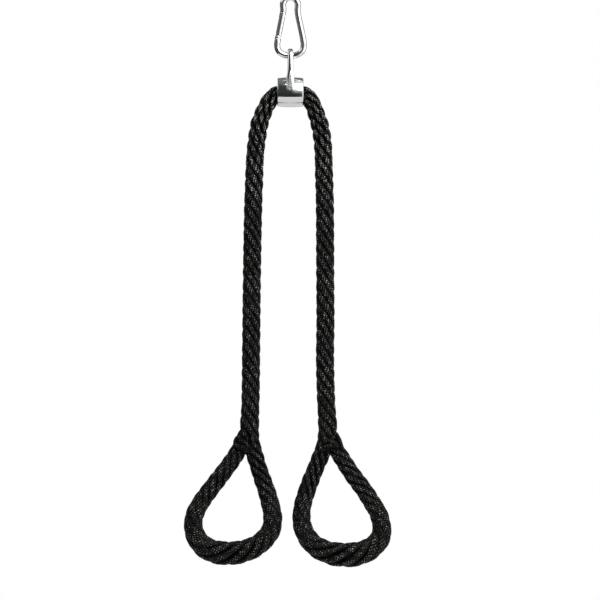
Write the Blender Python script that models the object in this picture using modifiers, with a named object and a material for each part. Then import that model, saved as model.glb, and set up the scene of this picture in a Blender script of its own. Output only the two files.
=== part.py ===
"""Triceps rope attachment for a cable machine: a steel snap hook, an eye bail on a steel collar, and one
thick rope through the collar whose two hanging legs each end in a spliced hand loop. Metres, +Z up, X across
the two legs, Y from front to back. The origin is where the machine's own ring bears: the inside top of the
hook."""

import math

import bmesh
import bpy
import numpy as np
from mathutils import Matrix, Vector

GAP = 0.0003  # between pieces that touch
OVERRUN = 0.002  # how far a cut runs past what it cuts
WELD = 0.000001  # points nearer than this are one point

# Snap hook: a wire of one thickness, bent to a pear, with a sprung gate in its left side
WIRE_D = 0.009
HOOK_LENGTH = 0.0915
HOOK_WIDTH = 0.0466
SMALL_BOW_INSIDE_D = 0.0122
BIG_BOW_DEPTH = 0.0158  # centre line, from the widest place down to the bottom
BIG_BOW_SQUARENESS = 2.35  # 2 is an ellipse
# Down from the small bow's middle to the widest place, and out from the small bow's width to the full one
ARM_SHARES = ((0, 0), (0.11, -0.07), (0.21, -0.01), (0.32, 0.12), (0.55, 0.46), (0.8, 0.81), (1, 1))
RIVET_HEIGHT_SHARE = 0.818  # of the arm, down to the gate's rivet
NOSE_HEIGHT_SHARE = 0.18  # of the arm, down to the nose's shoulder
TONGUE_THICKNESS = 0.0034
TONGUE_R = 0.0042
TONGUE_FLAT_HEIGHT = 0.0036  # rivet's middle to the flat that the plunger rides on
CLAW_LENGTH = 0.0092

# Gate
GATE_INSET = 0.0002  # of the gate's side within the wire's
EAR_CLEARANCE = 0.0004  # between the gate's round end and the hook's hollowed shoulders
NOSE_CLEARANCE = 0.0005
GATE_EDGE = 0.0006
RIVET_R = 0.0015
RIVET_HEAD_R = 0.0025
RIVET_HEAD_HEIGHT = 0.001
EAR_FLAT_INSET = 0.0007  # how deep the seat of a rivet head is cut in the ear
LATCH_PIN_R = 0.0013
LATCH_PIN_DROP = 0.005  # from the nose's shoulder down to the pin
CLAW_LIP_CLEARANCE = 0.0005
LOWER_SLOT_DEPTH = 0.0052  # above the rivet's middle
UPPER_SLOT_DEPTH = 0.0105  # below the gate's top
BORE_R = 0.0022
BORE_END_WALL = 0.0033  # between the bore's blind end and the upper fork
PLUNGER_HEAD_R = 0.00185
PLUNGER_HEAD_LENGTH = 0.0036
PLUNGER_STEM_R = 0.0009
PLUNGER_STEM_SHARE = 0.36  # of the spring's length
SPRING_WIRE_D = 0.0006
SPRING_PITCH = 0.0015

# Collar and bail
COLLAR_LENGTH = 0.037
COLLAR_PLAY = 0.009  # bore's diameter over the rope's
COLLAR_WALL = 0.0045  # at the middle, where it is thickest
COLLAR_END_DROP = 0.00125  # of the barrel's surface at its ends
COLLAR_OUTER_EDGE = 0.0016
COLLAR_MOUTH_EDGE = 0.0017
COLLAR_DROP = 0.0564  # from the inside top of the eye down to the collar's middle
EYE_WIDTH_INSIDE = 0.017
BAIL_WIDTH = 0.0081  # along the collar
BAIL_THICKNESS = 0.0055
BAIL_FOOT_WIDTH = 0.0115
BAIL_FOOT_SINK = 0.0012  # how far the leg's middle line runs inside the collar's outer surface
BAIL_FOOT_HEIGHT = 0.0012  # of the feet's cut ends above the collar's middle
BAIL_ROUNDNESS = 2.6  # 2 is an ellipse
# Width over the bail's plain width, from the eye's side (0) to the cut end of the foot (1)
BAIL_FLARE_SHARES = ((0, 0), (0.35, 0), (0.52, 0.25), (0.64, 1), (0.8, 0.85), (1, 0.7))

# Rope. Each side is one hand-laid line: (across, up). A shoulder's heights are from the collar's middle, and a
# loop's are from the leg's lower end, down through the splice, round and back into the splice
ROPE_D = 0.025
LEG_DROP = 0.4345  # from the collar's middle to the leg's lower end
LEFT_SHOULDER = (
    (0, -0.0034), (-0.0165, -0.0035), (-0.022, -0.0048), (-0.0274, -0.0082), (-0.0332, -0.0154),
    (-0.0423, -0.039), (-0.0474, -0.0675), (-0.0502, -0.096), (-0.0512, -0.124), (-0.0523, -0.152),
)
LEFT_LOOP = (
    (-0.0544, 0.1695), (-0.0563, 0), (-0.0576, -0.045), (-0.0562, -0.058), (-0.0503, -0.0775),
    (-0.0457, -0.093), (-0.0401, -0.11), (-0.0345, -0.1255), (-0.0264, -0.1555), (-0.025, -0.1695),
    (-0.0282, -0.185), (-0.0443, -0.2035), (-0.0641, -0.213), (-0.0768, -0.2157), (-0.0909, -0.2164),
    (-0.1036, -0.215), (-0.1149, -0.2113), (-0.1248, -0.2045), (-0.1325, -0.1945), (-0.1368, -0.181),
    (-0.1367, -0.169), (-0.1333, -0.1575), (-0.1276, -0.1468), (-0.1178, -0.1327), (-0.0909, -0.0974),
    (-0.0763, -0.0765), (-0.0637, -0.0505), (-0.061, -0.0405),
)
RIGHT_SHOULDER = (
    (0, -0.0034), (0.0165, -0.0035), (0.022, -0.0048), (0.0272, -0.0081), (0.0323, -0.0157),
    (0.0397, -0.039), (0.0453, -0.0675), (0.0477, -0.124), (0.0486, -0.152),
)
RIGHT_LOOP = (
    (0.0492, 0.1695), (0.0495, 0.113), (0.0489, 0.0565), (0.0504, 0), (0.0526, -0.0415),
    (0.0514, -0.054), (0.0485, -0.0655), (0.0376, -0.0918), (0.0263, -0.12), (0.0178, -0.1468),
    (0.0158, -0.1609), (0.0164, -0.1751), (0.0206, -0.1878), (0.0291, -0.2005), (0.039, -0.2087),
    (0.0531, -0.215), (0.0658, -0.2179), (0.0912, -0.2179), (0.1124, -0.2102), (0.127, -0.1948),
    (0.1291, -0.1835), (0.1279, -0.1722), (0.1239, -0.1595), (0.1195, -0.1518), (0.1039, -0.1271),
    (0.087, -0.1045), (0.0712, -0.08), (0.064, -0.0687), (0.0567, -0.0508), (0.0548, -0.0405),
)
# (share of the side's length, share of the rope's thickness): pinched at the crotch, and slack and fat where
# the loop's lay opens round its bottom
LEFT_THICKNESS_SHARES = (
    (0, 1), (0.03, 0.97), (0.074, 1), (0.522, 1), (0.583, 0.92), (0.681, 1.07), (0.708, 1.13), (0.736, 1.26),
    (0.765, 1.31), (0.787, 1.26), (0.821, 1.07), (0.835, 1.02), (0.882, 0.96), (0.983, 0.89), (1, 0.82),
)
RIGHT_THICKNESS_SHARES = (
    (0, 1), (0.03, 0.97), (0.072, 1), (0.515, 1), (0.582, 0.92), (0.611, 0.96), (0.64, 0.96), (0.67, 1.02),
    (0.699, 1.11), (0.74, 1.31), (0.764, 1.35), (0.778, 1.31), (0.828, 1.05), (0.839, 1.02), (0.868, 0.97),
    (0.981, 0.9), (1, 0.82),
)
ROPE_INSIDE = 0.0215  # rope from the collar's middle to where it starts to arch
ROPE_SHOULDER = 0.072
ROPE_WRIST = 0.046  # the bend above a splice, round the leg's lower end
WRIST_ABOVE = 0.011  # how much of it is above the leg's lower end
SPLICE_LENGTH = 0.055
TAIL_LENGTH = 0.051
ROPE_POINT_EVERY = 0.0125  # along a bend
LEG_POINT_EVERY = 0.03
LOOP_POINT_EVERY = 0.0155
ROPE_END_STEP = 0.0035

# Steps of curves and turned shapes
WIRE_POINT_EVERY = 0.0032
WIRE_SIDES = 5  # a bevel resolution
ROPE_SIDES = 4
TURN_STEPS = 48
PIN_STEPS = 20
SPRING_STEPS = 10
ARC_STEPS = 5
BAIL_STEPS = 12
BAIL_SIDES = 20
ROUTE_STEPS = 12

STEEL = (0.62, 0.62, 0.63, 1)
SPRING_STEEL = (0.42, 0.42, 0.44, 1)
ROPE_BLACK = (0.012, 0.012, 0.013, 1)

GATE_R = WIRE_D / 2 - GATE_INSET
TOP_BOW_R = (SMALL_BOW_INSIDE_D + WIRE_D) / 2
TOP_BOW_Z = -SMALL_BOW_INSIDE_D / 2
BIG_BOW_HALF = (HOOK_WIDTH - WIRE_D) / 2
BOTTOM_Z = 1.5 * WIRE_D - HOOK_LENGTH
BIG_BOW_Z = BOTTOM_Z + BIG_BOW_DEPTH
EYE_TOP_Z = BOTTOM_Z + WIRE_D / 2 + GAP
COLLAR_Z = EYE_TOP_Z - COLLAR_DROP
COLLAR_D = ROPE_D + COLLAR_PLAY + 2 * COLLAR_WALL


def clear_scene():
    for obj in list(bpy.data.objects):
        bpy.data.objects.remove(obj, do_unlink=True)


def new_collection(name):
    collection = bpy.data.collections.new(name)
    bpy.context.scene.collection.children.link(collection)
    return collection


def new_material(name, colour, roughness, metallic):
    material = bpy.data.materials.new(name)
    material.use_nodes = True
    shader = material.node_tree.nodes["Principled BSDF"]
    shader.inputs["Base Color"].default_value = colour
    shader.inputs["Roughness"].default_value = roughness
    shader.inputs["Metallic"].default_value = metallic
    return material


def add_part(name, data, material):
    obj = bpy.data.objects.new(name, data)
    data.materials.append(material)
    PARTS.objects.link(obj)
    return obj


def as_cutter(obj):
    """Puts a solid among the cutters, which only shape other solids."""
    for collection in obj.users_collection:
        collection.objects.unlink(obj)
    CUTTERS.objects.link(obj)
    obj.hide_render = True
    obj.display_type = "WIRE"
    return obj


def add_cutter(name, mesh, matrix):
    obj = as_cutter(bpy.data.objects.new(name, mesh))
    obj.matrix_world = matrix
    return obj


def boolean(obj, other, operation="DIFFERENCE"):
    modifier = obj.modifiers.new(f"{operation.title()} {other.name}", "BOOLEAN")
    modifier.operation = operation
    modifier.object = other


def cylinder_mesh(name, radius, length, steps=TURN_STEPS):
    mesh = bpy.data.meshes.new(name)
    work = bmesh.new()
    bmesh.ops.create_cone(work, cap_ends=True, segments=steps, radius1=radius, radius2=radius, depth=length)
    work.to_mesh(mesh)
    work.free()
    return mesh


def box_mesh(name, size):
    mesh = bpy.data.meshes.new(name)
    work = bmesh.new()
    bmesh.ops.create_cube(work, size=1, matrix=Matrix.Diagonal((*size, 1)))
    work.to_mesh(mesh)
    work.free()
    return mesh


def shade_round(mesh, angle=math.radians(35)):
    mesh.shade_smooth()
    mesh.set_sharp_from_angle(angle=angle)


def turned(name, profile, material, steps=TURN_STEPS, closed=False):
    """A solid turned about its own Z from (radius, height) points that run down the outer side."""
    mesh = bpy.data.meshes.new(name)
    work = bmesh.new()
    corners = [work.verts.new((radius, 0, height)) for radius, height in profile]
    for a, b in zip(corners, corners[1:] + corners[:1] * closed):
        work.edges.new((a, b))
    work.to_mesh(mesh)
    work.free()
    obj = add_part(name, mesh, material)
    screw = obj.modifiers.new("Turn", "SCREW")
    screw.steps = screw.render_steps = steps
    screw.use_merge_vertices = True
    screw.merge_threshold = WELD
    screw.use_smooth_shade = True
    return obj


def arc(centre, radius, start, end, steps=ARC_STEPS):
    """Points on a circle, from one angle to another in degrees."""
    angles = np.radians(np.linspace(start, end, steps + 1))
    return [(centre[0] + radius * math.cos(a), centre[1] + radius * math.sin(a)) for a in angles]


def smooth_line(points):
    """A fine smooth line through the points, each with the length along it put before its own values."""
    points = np.array(points, float)
    knots = np.cumsum([0, *np.sqrt(np.linalg.norm(np.diff(points[:, :2], axis=0), axis=1))])
    slopes = np.gradient(points, knots, axis=0)
    line = [points[0]]
    for k in range(len(points) - 1):
        span = knots[k + 1] - knots[k]
        for t in np.arange(1, ROUTE_STEPS + 1) / ROUTE_STEPS:
            line.append(
                (2 * t**3 - 3 * t**2 + 1) * points[k]
                + (t**3 - 2 * t**2 + t) * span * slopes[k]
                + (3 * t**2 - 2 * t**3) * points[k + 1]
                + (t**3 - t**2) * span * slopes[k + 1]
            )
    line = np.array(line)
    along = np.cumsum([0, *np.linalg.norm(np.diff(line[:, :2], axis=0), axis=1)])
    return np.column_stack([along, line])


def stretch(line, start, end, every):
    """Even points of a smooth line between two lengths along it."""
    stops = np.linspace(start, end, max(2, round((end - start) / every) + 1))
    return np.column_stack([np.interp(stops, line[:, 0], column) for column in line.T[1:]])


def tube(name, points, thickness, sides, material):
    """A round tube on points (x, y, z), one thickness or one at each point."""
    curve = bpy.data.curves.new(name, "CURVE")
    curve.dimensions = "3D"
    curve.bevel_depth = np.max(thickness) / 2
    curve.bevel_resolution = sides
    curve.use_fill_caps = True
    spline = curve.splines.new("POLY")
    spline.points.add(len(points) - 1)
    shares = np.broadcast_to(thickness / np.max(thickness), len(points))
    for point, place, share in zip(spline.points, points, shares):
        point.co = (*place, 1)
        point.radius = share
    return add_part(name, curve, material)


def as_mesh(obj):
    """The same object with its curve made a closed mesh, so that it can be cut and joined."""
    graph = bpy.context.evaluated_depsgraph_get()
    mesh = bpy.data.meshes.new_from_object(obj.evaluated_get(graph))
    work = bmesh.new()
    work.from_mesh(mesh)
    bmesh.ops.remove_doubles(work, verts=work.verts, dist=WELD)
    work.to_mesh(mesh)
    work.free()
    name, material, matrix = obj.name, obj.active_material, obj.matrix_world.copy()
    bpy.data.objects.remove(obj, do_unlink=True)
    made = add_part(name, mesh, material)
    made.matrix_world = matrix
    return made


def arm_line(side):
    """(x, z) down one side of the hook, from the small bow's middle height to the widest place."""
    width = BIG_BOW_HALF - TOP_BOW_R
    height = BIG_BOW_Z - TOP_BOW_Z
    return [(side * (TOP_BOW_R + out * width), TOP_BOW_Z + down * height) for down, out in ARM_SHARES]


def at_share(line, share):
    """The (x, z) point of an arm at a share of its height."""
    x, z = zip(*line)
    height = z[0] + share * (z[-1] - z[0])
    return Vector((float(np.interp(-height, np.negative(z), x)), 0, height))


def bow_quarter(side):
    """(x, z) round a quarter of the wide bow, from its widest place to the bottom."""
    power = 2 / BIG_BOW_SQUARENESS
    points = []
    for angle in np.radians(np.arange(0, 91, 10)):
        across = abs(math.cos(angle)) ** power
        down = math.sin(angle) ** power
        points.append((side * BIG_BOW_HALF * across, BIG_BOW_Z - BIG_BOW_DEPTH * down))
    return points


LEFT_ARM = arm_line(-1)
RIVET = at_share(LEFT_ARM, RIVET_HEIGHT_SHARE)
NOSE = at_share(LEFT_ARM, NOSE_HEIGHT_SHARE)
GATE_LENGTH = (NOSE - RIVET).length  # rivet's middle to the nose's shoulder
GATE_TILT = math.atan2(NOSE.x - RIVET.x, NOSE.z - RIVET.z)
# The gate's own frame: Z along it from the rivet up, X inwards
GATE_FRAME = Matrix.Translation(RIVET) @ Matrix.Rotation(GATE_TILT, 4, "Y")
GATE_TOP = GATE_LENGTH - NOSE_CLEARANCE
BORE_TOP = GATE_TOP - UPPER_SLOT_DEPTH - BORE_END_WALL
CLAW_TIP = GATE_LENGTH - CLAW_LENGTH
LATCH_PIN_HEIGHT = GATE_LENGTH - LATCH_PIN_DROP
ACROSS = Matrix.Rotation(math.radians(90), 4, "X")  # turns a length along Z to lie along Y


def in_gate(x=0, y=0, z=0):
    return GATE_FRAME @ Matrix.Translation((x, y, z))


def hook_line():
    """The wire's middle line: from the claw's tip over the small bow, round the wide one, up to the rivet."""
    over = arc((0, TOP_BOW_Z), TOP_BOW_R, 180, 0, 2 * ARC_STEPS)
    right = arm_line(1)[1:]
    under = bow_quarter(1)[1:] + bow_quarter(-1)[-2::-1]
    left_up = [p for p in reversed(LEFT_ARM[:-1]) if p[1] < RIVET.z - WIRE_D / 2]
    left_down = [p for p in reversed(LEFT_ARM[1:]) if p[1] > NOSE.z + WIRE_D / 4]
    claw = in_gate(z=CLAW_TIP).translation
    middle = (claw + NOSE) / 2
    start = [(claw.x, claw.z), (middle.x, middle.z), (NOSE.x, NOSE.z)]
    return start + left_down + over + right + under + left_up + [(RIVET.x, RIVET.z)]


def make_hook(steel):
    line = smooth_line(hook_line())
    points = [(x, 0, z) for x, z in stretch(line, 0, line[-1, 0], WIRE_POINT_EVERY)]
    hook = as_mesh(tube("hook_body", points, WIRE_D, WIRE_SIDES, steel))
    flat_depth = WIRE_D  # of a cutter beside the tongue
    for side in (-1, 1):
        beside = side * (TONGUE_THICKNESS + flat_depth) / 2
        ear = cylinder_mesh("Hollow for an ear", GATE_R + EAR_CLEARANCE, flat_depth)
        boolean(hook, add_cutter("Hollow for an ear", ear, in_gate(y=beside) @ ACROSS))
        length = CLAW_LENGTH + OVERRUN
        flat = box_mesh("Flat of the claw", (2 * WIRE_D, flat_depth, length))
        place = in_gate(y=beside, z=GATE_LENGTH - length / 2)
        boolean(hook, add_cutter("Flat of the claw", flat, place))
    disc = cylinder_mesh("Tongue", TONGUE_R, TONGUE_THICKNESS)
    boolean(hook, add_cutter("Tongue", disc, in_gate() @ ACROSS), "UNION")
    trim = box_mesh("Flat of the tongue", (4 * TONGUE_R, 2 * WIRE_D, 2 * TONGUE_R))
    place = in_gate(z=TONGUE_FLAT_HEIGHT + TONGUE_R)
    boolean(hook, add_cutter("Flat of the tongue", trim, place))
    hole = cylinder_mesh("Rivet hole", RIVET_R + GAP, 2 * WIRE_D, PIN_STEPS)
    boolean(hook, add_cutter("Rivet hole", hole, in_gate() @ ACROSS))
    notch_r = LATCH_PIN_R + CLAW_LIP_CLEARANCE
    notch = cylinder_mesh("Notch for the latch pin", notch_r, 2 * WIRE_D, PIN_STEPS)
    place = in_gate(z=LATCH_PIN_HEIGHT)
    boolean(hook, add_cutter("Notch for the latch pin", notch, place @ ACROSS))
    mouth = box_mesh("Mouth of the notch", (WIRE_D, 2 * WIRE_D, 2 * notch_r))
    place = in_gate(x=WIRE_D / 2, z=LATCH_PIN_HEIGHT)
    boolean(hook, add_cutter("Mouth of the notch", mouth, place))
    shade_round(hook.data)
    return hook


def place_on_gate(obj, height=0, turn=None):
    obj.parent = GATE_AXIS
    obj.matrix_local = Matrix.Translation((0, 0, height)) @ (turn or Matrix.Identity(4))
    return obj


def make_gate(steel, spring_steel):
    ear = arc((0, 0), GATE_R, 0, -90)
    top = [(0, GATE_TOP), (GATE_R - GATE_EDGE, GATE_TOP), (GATE_R, GATE_TOP - GATE_EDGE)]
    gate = place_on_gate(turned("gate", [*top, *ear[:-1], (0, -GATE_R)], steel))
    slot = TONGUE_THICKNESS + 2 * GAP
    low, high = GATE_R + OVERRUN, LOWER_SLOT_DEPTH
    lower = box_mesh("Lower fork", (4 * GATE_R, slot, low + high))
    boolean(gate, add_cutter("Lower fork", lower, in_gate(z=(high - low) / 2)))
    upper = box_mesh("Upper fork", (4 * GATE_R, slot, UPPER_SLOT_DEPTH + OVERRUN))
    middle = GATE_TOP + (OVERRUN - UPPER_SLOT_DEPTH) / 2
    boolean(gate, add_cutter("Upper fork", upper, in_gate(z=middle)))
    low = LOWER_SLOT_DEPTH - OVERRUN
    bore = cylinder_mesh("Spring bore", BORE_R, BORE_TOP - low, PIN_STEPS)
    boolean(gate, add_cutter("Spring bore", bore, in_gate(z=(BORE_TOP + low) / 2)))
    for name, radius, height in (("Rivet", RIVET_R, 0), ("Latch pin", LATCH_PIN_R, LATCH_PIN_HEIGHT)):
        hole = cylinder_mesh(f"{name} hole in the gate", radius + GAP, 4 * GATE_R, PIN_STEPS)
        boolean(gate, add_cutter(hole.name, hole, in_gate(z=height) @ ACROSS))
    ear_flat = GATE_R - EAR_FLAT_INSET
    for side in (-1, 1):
        seat = cylinder_mesh("Seat of a rivet head", RIVET_HEAD_R + GAP, GATE_R, PIN_STEPS)
        place = in_gate(y=side * (ear_flat + GATE_R / 2))
        boolean(gate, add_cutter("Seat of a rivet head", seat, place @ ACROSS))

    head = ear_flat + GAP
    dome = head + RIVET_HEAD_HEIGHT
    crown = (RIVET_HEAD_R * 0.6, dome - RIVET_HEAD_HEIGHT / 8)
    rim = (RIVET_HEAD_R, head + RIVET_HEAD_HEIGHT / 3)
    half = [(0, dome), crown, rim, (RIVET_HEAD_R, head), (RIVET_R, head)]
    profile = [*half, *[(r, -z) for r, z in reversed(half)]]
    place_on_gate(turned("gate_rivet", profile, steel, PIN_STEPS), turn=ACROSS)

    reach = math.sqrt(GATE_R**2 - LATCH_PIN_R**2)
    edge = LATCH_PIN_R / 4
    pin = [(0, reach), (LATCH_PIN_R - edge, reach), (LATCH_PIN_R, reach - edge)]
    profile = [*pin, *[(r, -z) for r, z in reversed(pin)]]
    place_on_gate(turned("latch_pin", profile, steel, PIN_STEPS), LATCH_PIN_HEIGHT, ACROSS)

    foot = TONGUE_FLAT_HEIGHT + GAP
    shoulder = foot + PLUNGER_HEAD_LENGTH
    low = shoulder + GAP + SPRING_WIRE_D / 2
    high = BORE_TOP - GAP - SPRING_WIRE_D / 2
    tip = shoulder + PLUNGER_STEM_SHARE * (high - low)
    edge = PLUNGER_STEM_R / 2
    stem = [(0, tip), (PLUNGER_STEM_R, tip), (PLUNGER_STEM_R, shoulder)]
    head = [(PLUNGER_HEAD_R, shoulder), (PLUNGER_HEAD_R, foot + edge), (PLUNGER_HEAD_R - edge, foot)]
    place_on_gate(turned("gate_plunger", [*stem, *head, (0, foot)], spring_steel, PIN_STEPS))

    coil_r = BORE_R - GAP - SPRING_WIRE_D / 2
    turns = max(1, round((high - low) / SPRING_PITCH))
    steps = turns * SPRING_STEPS
    points = []
    for k in range(steps + 1):
        angle = 2 * math.pi * k / SPRING_STEPS
        points.append((coil_r * math.cos(angle), coil_r * math.sin(angle), low + (high - low) * k / steps))
    place_on_gate(tube("gate_spring", points, SPRING_WIRE_D, 1, spring_steel))
    turn_gap = (high - low) / turns - SPRING_WIRE_D
    print(f"gate_spring: {turns} turns, least gap between them {turn_gap * 1000:.2f} mm")


def barrel_profile(extra=0):
    """(radius, height) down the collar's barrel-shaped outside, standing extra off it."""
    half = COLLAR_LENGTH / 2
    edge = COLLAR_OUTER_EDGE
    radius = COLLAR_D / 2 + extra
    heights = np.linspace(half - edge, edge - half, 2 * ARC_STEPS + 1)
    return [(radius - COLLAR_END_DROP * (height / half) ** 2, float(height)) for height in heights]


def on_collar_axis(obj):
    """Lays a turned solid across, about the collar's middle."""
    obj.location = (0, 0, COLLAR_Z)
    obj.rotation_euler = (0, math.radians(90), 0)
    return obj


def make_collar(steel):
    half = COLLAR_LENGTH / 2
    side = barrel_profile()
    bore_r = COLLAR_D / 2 - COLLAR_WALL
    outer = arc((side[0][0] - COLLAR_OUTER_EDGE, side[0][1]), COLLAR_OUTER_EDGE, 90, 0)
    mouth = arc((bore_r + COLLAR_MOUTH_EDGE, half - COLLAR_MOUTH_EDGE), COLLAR_MOUTH_EDGE, 180, 90)
    top = outer[:-1]
    bottom = [(r, -z) for r, z in reversed(top)]
    profile = top + side + bottom + [(r, -z) for r, z in reversed(mouth)] + mouth
    return on_collar_axis(turned("collar", profile, steel, closed=True))


def bail_line():
    """Half the bail's middle line as (y, z) from the top of the eye down to the cut end of a foot."""
    bow_r = (EYE_WIDTH_INSIDE + BAIL_THICKNESS) / 2
    bow_z = EYE_TOP_Z - EYE_WIDTH_INSIDE / 2
    wrap_r = COLLAR_D / 2 - BAIL_FOOT_SINK + BAIL_THICKNESS / 2
    lean = math.asin((wrap_r - bow_r) / (bow_z - COLLAR_Z))
    bow = arc((0, bow_z), bow_r, 90, math.degrees(lean), BAIL_STEPS)
    foot_angle = math.asin(BAIL_FOOT_HEIGHT / wrap_r)
    wrap = arc((0, COLLAR_Z), wrap_r, math.degrees(lean), math.degrees(foot_angle), ARC_STEPS)
    leg = [np.array(bow[-1]) + (np.array(wrap[0]) - bow[-1]) * k / BAIL_STEPS for k in range(1, BAIL_STEPS)]
    return np.array([*bow, *leg, *wrap])


def make_bail(steel):
    half = bail_line()
    back = half[::-1]
    front = half[1:] * (-1, 1)
    line = np.array([*back, *front])
    reach = np.abs(line[:, 1] - EYE_TOP_Z) / (EYE_TOP_Z - COLLAR_Z - BAIL_FOOT_HEIGHT)
    shares, flares = zip(*BAIL_FLARE_SHARES)
    widths = BAIL_WIDTH + (BAIL_FOOT_WIDTH - BAIL_WIDTH) * np.interp(reach, shares, flares)
    along = np.gradient(line, axis=0)
    along /= np.linalg.norm(along, axis=1)[:, None]
    angles = 2 * np.pi * (np.arange(BAIL_SIDES) + 0.5) / BAIL_SIDES
    power = 2 / BAIL_ROUNDNESS
    across = np.sign(np.cos(angles)) * np.abs(np.cos(angles)) ** power
    out = np.sign(np.sin(angles)) * np.abs(np.sin(angles)) ** power
    mesh = bpy.data.meshes.new("eye_bail")
    work = bmesh.new()
    rings = []
    for (y, z), (ty, tz), width in zip(line, along, widths):
        ring = []
        for a, b in zip(across, out):
            off = b * BAIL_THICKNESS / 2
            ring.append(work.verts.new((a * width / 2, y + off * tz, z - off * ty)))
        rings.append(ring)
    for low, high in zip(rings, rings[1:]):
        for k in range(BAIL_SIDES):
            n = (k + 1) % BAIL_SIDES
            work.faces.new((low[k], low[n], high[n], high[k]))
    work.faces.new(rings[0])
    work.faces.new(rings[-1])
    bmesh.ops.recalc_face_normals(work, faces=work.faces)
    work.to_mesh(mesh)
    work.free()
    bail = add_part("eye_bail", mesh, steel)
    side = barrel_profile(GAP)
    top, bottom = [(side[0][0], COLLAR_LENGTH), (side[-1][0], -COLLAR_LENGTH)]
    profile = [(0, COLLAR_LENGTH), top, *side, bottom, (0, -COLLAR_LENGTH)]
    boolean(bail, as_cutter(on_collar_axis(turned("Seat on the collar", profile, steel))))
    shade_round(bail.data)
    return bail


def rope_line(shoulder, loop, thickness_shares):
    """One side's rope in place, from the collar's middle to the tail's end: rows of length, x, z, thickness."""
    line = smooth_line([*shoulder, *[(x, z - LEG_DROP) for x, z in loop]])
    line[:, 2] += COLLAR_Z
    lengths, shares = zip(*thickness_shares)
    thickness = ROPE_D * np.interp(line[:, 0] / line[-1, 0], lengths, shares)
    return np.column_stack([line, thickness])


def rope_end(line, cut, inwards):
    """The last two points of a piece, square to its cut and half a gap inside it. Inwards is 1 or -1."""
    before, here, after = stretch(line, cut - ROPE_END_STEP, cut + ROPE_END_STEP, ROPE_END_STEP)
    along = inwards * (after - before) / np.linalg.norm((after - before)[:2])
    return [here + along * GAP / 2, here + along * (GAP / 2 + ROPE_END_STEP)]


def rope_piece(name, line, start, end, every, material):
    """A piece of rope between two cuts across its line."""
    inside = stretch(line, start, end, every)[1:-1]
    x, z, thickness = np.array([*rope_end(line, start, 1), *inside, *rope_end(line, end, -1)[::-1]]).T
    return tube(name, np.column_stack([x, 0 * x, z]), thickness, ROPE_SIDES, material)


def make_rope(rope):
    lines = {
        "left": rope_line(LEFT_SHOULDER, LEFT_LOOP, LEFT_THICKNESS_SHARES),
        "right": rope_line(RIGHT_SHOULDER, RIGHT_LOOP, RIGHT_THICKNESS_SHARES),
    }
    whole = np.vstack([lines["left"][::-1] * (-1, 1, 1, 1), lines["right"][1:]])
    rope_piece("rope_centre", whole, -ROPE_INSIDE, ROPE_INSIDE, ROPE_POINT_EVERY / 2, rope)
    for side, line in lines.items():
        shoulder = ROPE_INSIDE + ROPE_SHOULDER
        lower_end = np.argmin(np.abs(line[:, 2] - COLLAR_Z + LEG_DROP))
        leg = line[lower_end, 0] - WRIST_ABOVE
        wrist = leg + ROPE_WRIST
        splice = wrist + SPLICE_LENGTH
        end = line[-1, 0]
        rope_piece(f"rope_shoulder_{side}", line, ROPE_INSIDE, shoulder, ROPE_POINT_EVERY, rope)
        rope_piece(f"rope_leg_{side}", line, shoulder, leg, LEG_POINT_EVERY, rope)
        rope_piece(f"rope_wrist_{side}", line, leg, wrist, ROPE_POINT_EVERY, rope)
        rope_piece(f"hand_loop_{side}", line, splice, end - TAIL_LENGTH, LOOP_POINT_EVERY, rope)
        throat = as_mesh(rope_piece(f"splice_{side}", line, wrist, splice, ROPE_POINT_EVERY, rope))
        tail = rope_piece(f"Tail on the {side}", line, end - TAIL_LENGTH, end, ROPE_POINT_EVERY, rope)
        boolean(throat, as_cutter(as_mesh(tail)), "UNION")
        shade_round(throat.data)
        print(f"rope {side}: {end:.3f} m from the collar's middle to the tail's end")


clear_scene()
PARTS = new_collection("Triceps rope attachment")
CUTTERS = new_collection("Cutters")
GATE_AXIS = bpy.data.objects.new("Gate axis", None)
PARTS.objects.link(GATE_AXIS)
GATE_AXIS.matrix_world = GATE_FRAME
polished = new_material("Polished steel", STEEL, 0.12, 1)
spring = new_material("Spring steel", SPRING_STEEL, 0.3, 1)
black_rope = new_material("Black rope", ROPE_BLACK, 0.75, 0)
make_hook(polished)
make_gate(polished, spring)
make_collar(polished)
make_bail(polished)
make_rope(black_rope)
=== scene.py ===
"""Looks of the triceps rope attachment: laid black rope in strands, a polished collar with its eye bail, a snap
hook, and a pale studio around them. Metres, +Z up, X across the two legs, Y from front to back."""

import functools
import math

import bmesh
import bpy
import numpy as np
from bpy.props import FloatProperty, IntProperty, PointerProperty, StringProperty
from mathutils import Matrix, Vector


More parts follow.
